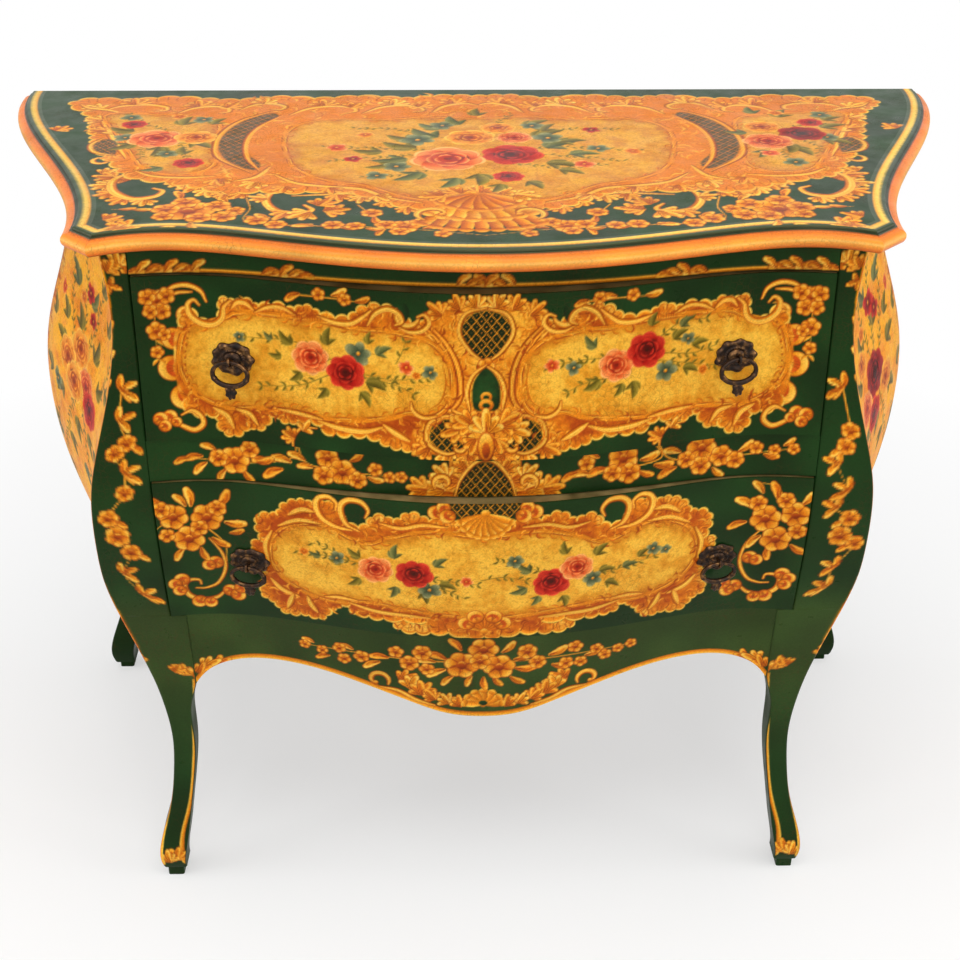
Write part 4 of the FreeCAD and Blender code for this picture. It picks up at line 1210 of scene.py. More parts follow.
for name, solid in nodes.items():
    if "eye_bolt" in name or "plate" in name or "ring" in name or "nuts" in name:
        kind = bronze
    elif name in ("upper_drawer_front", "lower_drawer_front"):
        kind = worn_edge
    elif name in ("frieze_rail", "mid_rail", "apron"):
        kind = green_edge
    elif "side" in name or "guide" in name or "kicker" in name:
        kind = wood_deep
    else:
        kind = wood_across
    solid.data.materials.clear()
    solid.data.materials.append(kind)


# Upper drawer: two long reserves, and between them leaves, a lattice drop, a green arch and a shell
UPPER_RESERVE = [
    (40, 700), (54, 687), (78, 689), (100, 682), (130, 677), (165, 675), (200, 679), (235, 678), (262, 675),
    (285, 681), (302, 695), (311, 715), (309, 740), (299, 761), (282, 763), (262, 769), (250, 775),
    (225, 777), (190, 776), (160, 775), (130, 771), (100, 771), (75, 767), (55, 761), (40, 742), (36, 722)]
UPPER_LEAVES = [
    (60, 656), (64, 645), (76, 646), (86, 650), (98, 650), (108, 657), (122, 661), (138, 660), (154, 659),
    (169, 661), (166, 668), (180, 671), (194, 668), (203, 664), (212, 666), (216, 673), (225, 669),
    (229, 657), (238, 652), (247, 660), (253, 648), (263, 643), (273, 646), (277, 657), (277, 667),
    (290, 666), (304, 667), (312, 680), (312, 760), (306, 760), (307, 772), (301, 780), (294, 766),
    (278, 761), (267, 767), (263, 780), (268, 789), (259, 791), (252, 786), (244, 791), (234, 789),
    (228, 783), (214, 788), (200, 787), (190, 784), (182, 791), (173, 789), (166, 783), (150, 780),
    (135, 781), (128, 790), (117, 796), (104, 797), (92, 796), (83, 790), (78, 778), (66, 778), (58, 786),
    (54, 796), (42, 798), (32, 798), (30, 740), (32, 690)]
UPPER_PETALS = [
    (318, 748, 11, 18), (322, 716, 13, 0), (312, 684, 13, -35), (303, 773, 9, 50), (297, 672, 10, -60)]
UPPER_SCROLLS = [
    ([(325, 797), (312, 804), (298, 805), (286, 799), (281, 788)], 4.5),
    ([(289, 784), (294, 789), (300, 784), (298, 773), (288, 765), (276, 764), (267, 771), (264, 783),
    (257, 790)], 7), ([(256, 782), (250, 789), (241, 789), (233, 782)], 5.5),
    ([(232, 780), (218, 787), (204, 788), (190, 781)], 4.5),
    ([(168, 783), (150, 778), (134, 779), (122, 787), (114, 794)], 5.5),
    ([(118, 778), (110, 791), (98, 797), (87, 793), (83, 784), (90, 780)], 6),
    ([(86, 778), (76, 774), (64, 776), (57, 784), (61, 792), (68, 790)], 5),
    ([(172, 669), (150, 664), (125, 663), (106, 669)], 7), ([(214, 677), (192, 675), (168, 671)], 5),
    ([(282, 672), (268, 664), (262, 650)], 7), ([(258, 672), (244, 668), (236, 656)], 6),
    ([(104, 672), (92, 664), (78, 656)], 7), ([(76, 699), (73, 689), (63, 683), (50, 685)], 4.5),
    ([(316, 664), (305, 669), (296, 663), (294, 653), (304, 646), (318, 652), (328, 660)], 5.5)]
CENTRE_MASS = mirrored([
    (0, 638), (30, 640), (62, 644), (76, 660), (66, 680), (42, 690), (32, 702), (28, 718), (30, 738),
    (38, 758), (52, 772), (62, 790), (46, 804), (0, 807)])
CORNER_BUDS = ((0, 4, 10), (-10, 8, 8), (9, 7, 8), (-5, -8, 8), (7, -8, 7), (3, -29, 9), (-5, -33, 6),
    (4, -52, 6))


def corner_spray(board, x, z):
    """A gold rose with hanging buds in the corner of a drawer."""
    board.scroll([(x - 8, z + 4), (x - 20, z + 11), (x - 36, z + 12)], 3.0)
    board.sprig([(x, z), (x + 4, z - 24), (x + 3, z - 60)], GOLD, 9, 10)
    for dx, dz, r in CORNER_BUDS:
        board.gilt_rose(x + dx, z + dz, r, 0.5 * dx)


def paint_centre(board):
    """The motif between the two reserves."""
    board.field(CENTRE_MASS, OCHRE, 24, 0.4, 0.5)
    arch = [(0, 692), (12, 694), (14, 712), (11, 726), (0, 738), (-11, 726), (-14, 712), (-12, 694)]
    board.swirls(CENTRE_MASS, arch, 420, 10)
    for side in board.both_sides():
        leafage(board,
            [(26, 800, 70, 15), (10, 802, 95, 15), (44, 794, 40, 15), (60, 650, -30, 17),
             (40, 646, -75, 15), (20, 642, -100, 15)])
        for shift, wide in ((0, 5.0), (6, 4.5), (11, 4.0)):
            board.scroll(
                [(56 + shift, 782), (40 + shift, 764), (29 + shift, 742), (25 + shift, 718),
                 (28 + shift, 700), (42 + shift, 686)], wide, GOLD if shift % 2 else OCHRE)
        board.curl(80, 792, 14, 3.3, 4.4, 6)
        board.dab(82, 794, 6, 10, 0.0, GREENS)
        board.curl(58, 694, 11, 1.4, 4.2, 5)
        board.lattice([(22, 652), (40, 646), (56, 656), (54, 674), (38, 682), (24, 672)])
        board.scroll([(19, 652), (40, 643), (60, 655), (58, 677), (40, 686), (24, 680)], 4)
        board.curl(28, 652, 8, 2.4, 4.2, 4)
        board.plume([(8, 690), (22, 686), (34, 692)], 13, 4, -1)
    board.lattice([(0, 746), (14, 757), (24, 776), (18, 792), (0, 798), (-18, 792), (-24, 776), (-14, 757)])
    for sign in (1, -1):
        board.scroll([(0, 743), (sign * 16, 756), (sign * 27, 776), (sign * 20, 795), (0, 801)], 4)
    board.gilt_rose(0, 740, 8)
    board.field(arch, GREENS, 27, 0.0, 0.1)
    board.scroll([(16, 690), (19, 712), (13, 730), (0, 741)], 4)
    board.scroll([(-16, 690), (-19, 712), (-13, 730), (0, 741)], 4)
    for z, r in ((707, 6.0), (698, 7.5)):
        board.dab(0, z, 0.9 * r, r, PI / 2, OCHRE)
        board.dab(0, z - 0.5, 0.4 * r, 0.5 * r, PI / 2, GREENS)
    leafage(board,
        [(-24, 672, 200, 20), (24, 672, -20, 20), (-14, 676, 150, 20), (14, 676, 30, 20), (0, 668, 90, 24),
         (-10, 660, 250, 16), (10, 660, -70, 16)])
    board.dab(0, 652, 17, 9, PI / 2, RUSSET)
    board.dab(0, 652, 15, 7.5, PI / 2)
    board.dab(0, 648, 9, 4, PI / 2, RUSSET)


def paint_upper_drawer():
    board = Board(-357, 357, 634, 817, 0.6, 11)
    for side in board.both_sides():
        board.petals(UPPER_PETALS)
        board.leafy(UPPER_LEAVES, 22)
    paint_centre(board)
    for side in board.both_sides():
        cartouche(board, UPPER_RESERVE, 10, 21)
        board.swirls(UPPER_LEAVES, UPPER_RESERVE, 520, 9)
        board.scrolls(UPPER_SCROLLS)
        board.petals([(328, 662, 7, 150), (338, 660, 7, 150), (334, 652, 6, 150), (322, 656, 5, 150)])
        for step in range(26):
            share = step / 25
            board.dab(299 + 14 * math.sin(PI * (0.12 + 0.76 * share)) - 5, 762 - 88 * share, 1.1, 1.1, 0.5,
                CREAM if step % 2 else RUSSET)
        for step in range(14):
            board.brush([(164 + 2.2 * step, 778), (164 + 2.2 * step, 783)], (1.0, 0.7), RUSSET)
        board.brush([(44, 742), (41, 722), (46, 702), (58, 692)], (1, 2.4, 2.4, 1), OCHRE)
        corner_spray(board, 331, 786)
    bouquet(board, [(-177, 737, 19, PINK), (-142, 725, 19, RED)],
        [(-195, 748, 130, 18), (-160, 750, 80, 20), (-124, 718, -20, 22), (-186, 722, 220, 16),
         (-205, 736, 175, 14), (-112, 746, 30, 18), (-118, 756, 80, 14), (-160, 708, 230, 16),
         (-128, 708, -60, 18), (-214, 752, 140, 12)],
        [[(-150, 735), (-190, 752), (-248, 752)], [(-140, 730), (-100, 722), (-60, 726)],
         [(-160, 720), (-190, 706), (-232, 700)], [(-120, 722), (-90, 716), (-70, 706)],
         [(-90, 740), (-84, 752), (-80, 764)]],
        [(-128, 747, 13, BLUE), (-80, 736, 8, PINK), (-56, 732, 8, BLUE), (-250, 752, 6, BLUE),
         (-70, 728, 5, ORANGE)])
    bouquet(board, [(132, 732, 18, PINK), (163, 745, 20, RED)],
        [(112, 752, 130, 18), (188, 752, 30, 18), (196, 764, 40, 16), (208, 744, 10, 18),
         (150, 716, -90, 20), (118, 720, 210, 20), (180, 728, -30, 18), (100, 738, 175, 14),
         (166, 768, 70, 16), (140, 714, 240, 16), (200, 722, -20, 18)],
        [[(150, 735), (110, 742), (62, 738)], [(165, 735), (205, 726), (244, 718)],
         [(160, 745), (195, 770), (226, 772)], [(130, 720), (100, 716), (78, 706)],
         [(180, 740), (212, 736), (238, 742)]],
        [(184, 720, 12, BLUE), (88, 734, 8, BLUE), (66, 738, 8, PINK), (206, 752, 7, BLUE),
         (224, 716, 6, ORANGE)])
    gold_spray(board,
        [(-166, 806, 5), (-140, 803, 5), (112, 806, 5), (146, 806, 5)],
        [(-186, 804, 200, 14), (-152, 806, 20, 14), (-128, 802, 10, 12), (128, 806, 170, 14),
         (100, 804, 190, 12), (160, 804, 0, 14)],
        [[(-190, 803), (-155, 803), (-120, 801)], [(92, 803), (130, 804), (172, 803)]])
    for x in (-200, 182):
        board.scroll([(x, 632), (x + 1, 646), (x + 10, 658), (x + 26, 660)], 2.4)
        leafage(board, [(x + 1, 646, 150, 13), (x + 12, 656, 60, 12)])
    return board


# Rail between the drawers: a lattice arch between leaves, a gold spray on each side
def paint_mid_rail():
    board = Board(-358, 358, 585, 636, 0.6, 13)
    for side in board.both_sides():
        leafage(board,
            [(30, 590, 10, 26), (44, 594, 20, 24), (62, 594, 5, 20), (26, 606, 35, 24), (40, 608, 45, 18),
             (18, 618, 65, 18), (6, 624, 90, 14)])
        board.curl(44, 602, 11, -0.6, 4.6, 5)
    board.lattice([(-30, 586), (30, 586), (24, 606), (12, 622), (0, 627), (-12, 622), (-24, 606)])
    board.scroll([(-32, 586), (-26, 606), (-13, 624), (0, 630), (13, 624), (26, 606), (32, 586)], 4)
    gold_spray(board,
        [(-265, 610, 13), (-248, 624, 8), (-282, 612, 8), (-165, 623, 10), (-150, 608, 12), (-170, 602, 9),
         (-134, 600, 8), (-115, 614, 6), (-100, 606, 5), (-88, 607, 5)],
        [(-300, 614, 180, 16), (-296, 606, 215, 16), (-314, 612, 190, 14), (-285, 622, 150, 14),
         (-215, 604, 200, 20), (-205, 614, 160, 18), (-228, 612, 170, 16), (-190, 618, 150, 16),
         (-140, 622, 30, 14), (-122, 604, -20, 14), (-256, 598, -60, 14), (-276, 598, 230, 14),
         (-240, 610, 10, 16), (-182, 610, 170, 14)],
        [[(-197, 636), (-205, 618), (-255, 608), (-322, 613)], [(-197, 634), (-180, 612), (-85, 606)]])
    gold_spray(board,
        [(145, 622, 13), (152, 604, 10), (134, 606, 8), (230, 624, 13), (252, 612, 10), (268, 606, 8),
         (230, 603, 9), (214, 612, 8), (290, 619, 6), (310, 616, 5), (330, 618, 5), (106, 620, 7)],
        [(126, 612, 190, 18), (108, 608, 170, 16), (96, 610, 200, 16), (165, 618, 10, 18),
         (180, 610, -10, 18), (206, 622, 160, 16), (202, 604, 200, 18), (272, 616, 30, 16),
         (300, 611, -20, 14), (320, 622, 30, 12), (164, 604, -30, 14), (244, 598, -50, 14),
         (118, 626, 150, 14)],
        [[(178, 636), (186, 618), (150, 610), (84, 604)], [(182, 634), (200, 614), (260, 610), (332, 618)]])
    return board


# Lower drawer: one wide reserve under the foot of the lattice arch
LOWER_EDGE = left_to_right([
    (0, 432), (50, 436), (95, 442), (130, 446), (165, 440), (200, 450), (222, 468), (232, 492)])
UPPER_EDGE = left_to_right([
    (0, 542), (55, 547), (95, 538), (122, 526), (145, 530), (172, 542), (205, 538), (226, 520)])
LOWER_RESERVE = LOWER_EDGE + UPPER_EDGE[::-1]
LOWER_LEAVES = [
    (0, 404), (18, 404), (40, 409), (60, 408), (76, 407), (92, 409), (100, 416), (84, 421), (64, 423),
    (90, 425), (112, 423), (128, 425), (140, 425), (149, 431), (148, 438), (160, 438), (164, 429),
    (174, 427), (177, 415), (186, 410), (196, 413), (206, 415), (218, 411), (228, 416), (231, 427),
    (241, 430), (248, 437), (242, 447), (244, 458), (238, 468), (242, 478), (236, 487), (246, 496),
    (253, 505), (246, 513), (236, 512), (243, 524), (245, 535), (242, 545), (231, 549), (221, 549),
    (218, 558), (210, 566), (200, 570), (191, 572), (183, 568), (170, 574), (158, 566), (150, 548),
    (134, 544), (122, 550), (118, 562), (106, 563), (97, 557), (88, 562), (80, 570), (69, 567), (60, 561),
    (44, 560), (30, 562), (0, 562)]
LOWER_SCROLLS = [
    ([(127, 561), (124, 570), (131, 579), (144, 580), (152, 573), (152, 561), (146, 549), (134, 543)], 6.5),
    ([(159, 566), (158, 575), (166, 581), (176, 578), (179, 568), (174, 555), (160, 546), (142, 543)], 6.5),
    ([(182, 560), (196, 560), (210, 552)], 7), ([(176, 546), (200, 546), (222, 536)], 6),
    ([(230, 528), (238, 508), (236, 484)], 6), ([(236, 460), (224, 446), (206, 438)], 7),
    ([(196, 440), (192, 428), (186, 418)], 7), ([(212, 440), (216, 428), (220, 418)], 7),
    ([(150, 440), (120, 432), (90, 430), (60, 428)], 6), ([(176, 444), (160, 446), (140, 444)], 5),
    ([(112, 556), (90, 552), (66, 558), (40, 556)], 5),
    ([(300, 512), (288, 492), (286, 470), (296, 448), (310, 440), (322, 440)], 3.5),
    ([(316, 446), (318, 452), (328, 452), (334, 444), (330, 430), (316, 423), (300, 426), (290, 436)], 6)]


def paint_lower_drawer():
    board = Board(-357, 357, 397, 587, 0.6, 12)
    for side in board.both_sides():
        board.leafy(LOWER_LEAVES + [(0, 480)], 32)
    cartouche(board, LOWER_RESERVE, 10, 31)
    for side in board.both_sides():
        board.swirls(LOWER_LEAVES + [(0, 480)], LOWER_RESERVE, 520, 9)
    board.lattice([(-30, 572), (-16, 562), (16, 562), (30, 572), (32, 587), (-32, 587)])
    for side in board.both_sides():
        board.scrolls(LOWER_SCROLLS)
        board.petals(
            [(336, 454, 8, 60), (344, 448, 7, 20), (340, 438, 7, -20), (320, 420, 8, -60),
             (308, 418, 7, -90), (284, 436, 8, 150), (276, 430, 8, 190), (272, 440, 7, 150),
             (296, 478, 8, 20), (304, 474, 7, -10), (52, 574, 8, 0), (44, 580, 7, 60), (40, 570, 8, -30)])
    board.shell(0, 574, 30, -2.75, -0.39, 9, GOLD)
    board.shell(0, 410, 26, 0.4, 2.74, 9, OCHRE)
    board.petals([(-20, 422, 9, 150), (20, 422, 9, 30), (-10, 432, 9, 110), (10, 432, 9, 70)])
    bouquet(board,
        [(-118, 493, 19, PINK), (-77, 491, 20, RED), (72, 479, 20, RED), (100, 497, 18, PINK)],
        [(-132, 506, 140, 18), (-98, 508, 80, 20), (-96, 474, 250, 18), (-56, 502, 40, 18),
         (-52, 480, -20, 20), (-134, 480, 220, 18), (-152, 498, 170, 16), (-176, 502, 160, 14),
         (-70, 468, -70, 18), (52, 494, 140, 20), (48, 474, 200, 20), (85, 460, -80, 18),
         (118, 508, 50, 20), (122, 488, 0, 18), (88, 514, 100, 18), (148, 488, 10, 18), (166, 498, 40, 16),
         (130, 472, -30, 18), (60, 462, 240, 16), (40, 506, 150, 16)],
        [[(-100, 490), (-150, 502), (-206, 506)], [(-80, 490), (-40, 484), (-8, 480)],
         [(80, 485), (40, 504), (14, 512)], [(90, 485), (140, 486), (196, 500)],
         [(-60, 476), (-40, 470), (-20, 458)], [(-4, 486), (20, 490), (44, 484)],
         [(-150, 500), (-168, 514), (-190, 520)]],
        [(-60, 470, 13, BLUE), (118, 478, 11, BLUE), (32, 512, 9, BLUE), (184, 508, 9, BLUE),
         (-160, 503, 9, BLUE), (-196, 506, 6, ORANGE), (-20, 484, 7, PINK), (198, 504, 6, BLUE)])
    gold_spray(board,
        [(-336, 542, 13), (-300, 540, 14), (-322, 512, 14), (-348, 552, 8), (-310, 526, 8), (-288, 552, 8),
         (-345, 518, 7)],
        [(-346, 556, 140, 18), (-316, 556, 90, 20), (-286, 556, 50, 20), (-280, 534, -10, 20),
         (-296, 512, -40, 18), (-330, 498, 230, 16), (-310, 498, -80, 16), (-322, 556, 120, 16),
         (-276, 520, 10, 14)],
        [[(-300, 525), (-284, 505), (-284, 480)], [(-336, 540), (-352, 530), (-357, 524)]])
    gold_spray(board,
        [(308, 532, 14), (340, 538, 13), (322, 504, 14), (298, 552, 8), (328, 556, 8), (344, 516, 8)],
        [(318, 560, 100, 18), (292, 548, 140, 20), (286, 528, 190, 18), (304, 508, 220, 18),
         (340, 496, -40, 18), (346, 552, 50, 16), (350, 520, -20, 14), (302, 566, 120, 16),
         (316, 492, -100, 16)],
        [[(310, 522), (290, 500), (285, 475)], [(330, 545), (318, 572), (300, 578)]])
    return board


def paint_frieze():
    board = Board(-358, 358, 815, 850, 0.7, 14)
    board.brush([(x, 819.2) for x in range(-350, 351, 25)], (3.4, 3.4))
    for side in board.both_sides():
        for step, x in enumerate(
                (356, 347, 338, 329, 320, 311, 302, 293, 222, 213, 204, 195, 186, 28, 19, 10, 1)):
            board.lobe(x, 819, math.radians((165, 125, 150)[step % 3]), 15, 6.5,
                GOLD if step % 2 else OCHRE, 0.5)
    return board


def paint_apron(edge):
    # Its ground is the lighter olive green, a painted reflection of the pale floor
    board = Board(-341, 341, 262, 400, 0.6, 15, FLOOR_SHEEN_GREENS)
    for side in board.both_sides():
        rim = [(x, np.interp(x, *edge) + 3.2) for x in range(0, 338, 12)]
        rim.append((337, np.interp(337, *edge) + 4))
        board.brush(rim, (7.0, 7.0), GOLD[::-1])
        leafage(board,
            [(96, 318, 150, 18), (84, 306, 110, 20), (70, 298, 80, 20), (56, 292, 50, 16),
             (40, 286, 60, 15), (26, 282, 80, 15), (314, 318, 190, 20), (326, 314, 150, 20),
             (332, 306, 110, 16)])
        board.curl(122, 316, 13, 3.6, -4.6, 6)
        board.scroll([(120, 306), (98, 302), (78, 290), (56, 282)], 5)
    board.shell(0, 284, 22, 0.1, 3.04, 7, GOLD)
    board.dab(0, 287, 4, 5, PI / 2, GREENS)
    gold_spray(board,
        [(0, 370, 14), (-25, 346, 16), (18, 343, 15), (-4, 352, 10), (-70, 363, 9), (-85, 346, 9),
         (-65, 338, 7), (-100, 362, 7), (-140, 350, 7), (-160, 344, 6), (-165, 360, 6), (-205, 360, 5),
         (-185, 354, 5), (50, 365, 9), (62, 348, 8), (105, 367, 7), (95, 343, 7), (112, 343, 6),
         (130, 360, 6), (140, 350, 6), (170, 362, 5), (155, 357, 5)],
        [(-44, 355, 150, 20), (-45, 338, 200, 20), (-110, 352, 170, 18), (-120, 344, 200, 18),
         (-26, 370, 120, 18), (22, 366, 40, 18), (38, 340, -10, 20), (76, 358, 20, 20), (80, 342, -20, 18),
         (-150, 360, 150, 14), (0, 326, -90, 16), (-14, 328, 240, 14), (12, 326, -60, 14),
         (118, 352, 10, 16), (-178, 346, 190, 14), (-56, 350, 170, 16), (36, 354, 10, 16),
         (-36, 328, 220, 16), (32, 326, -40, 16), (-195, 364, 150, 12)],
        [[(-20, 350), (-90, 352), (-210, 360)], [(20, 350), (90, 354), (176, 362)]])
    return board


# Table: three reserves in one mass of ochre leaves, lattice crescents, a shell and gold sprays on green
SIDE_RESERVE = [
    (292, -6), (302, -32), (330, -40), (354, -30), (372, 0), (388, 40), (408, 90), (428, 136), (438, 164),
    (424, 178), (390, 172), (344, 164), (312, 154), (302, 120), (302, 80), (298, 40)]
MIDDLE_RESERVE = mirrored([
    (0, -104), (34, -122), (66, -122), (92, -104), (122, -78), (150, -68), (176, -52), (196, -26), (206, 0),
    (214, 40), (218, 80), (214, 114), (198, 138), (166, 150), (110, 147), (60, 157), (0, 151)])
LEAF_MASS = [
    (0, -140), (60, -148), (96, -130), (126, -102), (160, -92), (200, -100), (230, -92), (262, -100),
    (300, -78), (336, -64), (372, -50), (390, -16), (410, 20), (426, 50), (436, 90), (446, 130), (458, 176),
    (488, 216), (470, 238), (420, 230), (372, 244), (330, 234), (290, 228), (240, 244), (190, 234),
    (140, 246), (80, 234), (40, 248), (0, 242)]
BACK_SCROLLS = [
    [(446, 188), (428, 208), (398, 214), (374, 204), (371, 190), (384, 185)],
    [(356, 178), (340, 198), (318, 206), (299, 198), (296, 183), (306, 178)],
    [(284, 190), (268, 212), (246, 216), (231, 204), (235, 191), (247, 192)],
    [(222, 170), (202, 196), (172, 206), (149, 198), (145, 183), (157, 178)],
    [(136, 176), (116, 200), (90, 208), (69, 200), (65, 185), (77, 180)],
    [(54, 178), (40, 204), (16, 216), (0, 208)]]
BACK_LEAVES = [
    (412, 214, 80, 24), (452, 196, 40, 22), (334, 206, 80, 24), (300, 200, 120, 20), (258, 216, 95, 22),
    (184, 208, 80, 24), (152, 200, 120, 20), (102, 210, 95, 24), (70, 202, 120, 20), (28, 216, 80, 22)]
FRONT_BUDS = [
    (80, -201, 13), (64, -190, 9), (98, -196, 9), (84, -214, 8), (42, -221, 7), (113, -163, 9),
    (150, -196, 9), (128, -199, 8), (226, -182, 10), (206, -194, 9), (297, -155, 22), (303, -130, 12),
    (270, -141, 12), (260, -172, 11), (284, -174, 11), (320, -150, 12), (320, -170, 9), (250, -154, 8)]
FRONT_LEAVES = [
    (338, -152, 170, 18), (352, -150, 190, 16), (366, -150, 175, 14), (244, -164, 20, 20),
    (236, -172, 200, 20), (216, -180, 60, 18), (190, -198, 180, 18), (170, -198, 10, 18),
    (140, -204, 190, 16), (116, -206, 200, 16), (60, -206, 160, 18), (46, -208, 200, 16),
    (110, -176, 260, 18), (326, -206, 170, 20), (306, -206, 190, 18), (290, -188, 260, 16),
    (310, -118, 80, 20), (262, -128, 60, 18), (100, -210, -60, 14)]


def paint_table_front(board):
    """Scrolls and gold sprays on the green before the reserves."""
    for side in board.both_sides():
        leafage(board,
            [(388, -52, 10, 22), (388, -76, -5, 22), (380, -100, -25, 22), (366, -116, -60, 20),
             (346, -122, -90, 18), (372, -60, 30, 20), (350, -198, 20, 22), (358, -206, 160, 18)])
        board.scroll(
            [(372, -34), (388, -62), (382, -96), (360, -118), (338, -112), (332, -96), (342, -88)], 11)
        board.scroll([(346, -58), (320, -62), (298, -72), (276, -102), (256, -108), (240, -98)], 11)
        leafage(board,
            [(300, -78, -70, 22), (286, -92, -100, 22), (266, -104, -80, 18), (248, -104, -60, 16),
             (318, -66, -100, 20)])
        board.scroll([(216, -96), (222, -126), (210, -154), (188, -166), (174, -154), (182, -140)], 10)
        leafage(board,
            [(196, -158, -60, 22), (176, -160, -40, 24), (160, -156, 170, 24), (168, -140, 120, 22),
             (222, -120, 20, 18)])
        board.scroll([(196, -112), (164, -108), (136, -106), (108, -120), (84, -144), (58, -160)], 7)
        leafage(board,
            [(150, -110, -100, 18), (124, -114, -80, 18), (100, -130, -110, 18), (78, -148, -90, 16)])
        buds = [(-x, y, r) for x, y, r in FRONT_BUDS]
        leaves = [(-x, y, 180 - aim, long) for x, y, aim, long in FRONT_LEAVES]
        gold_spray(board, buds, leaves,
            [[(-243, -118), (-236, -150), (-238, -182), (-204, -196)],
             [(-297, -155), (-340, -152), (-374, -150)],
             [(-204, -196), (-150, -200), (-84, -206), (0, -226)],
             [(-128, -140), (-118, -160), (-100, -200)]])


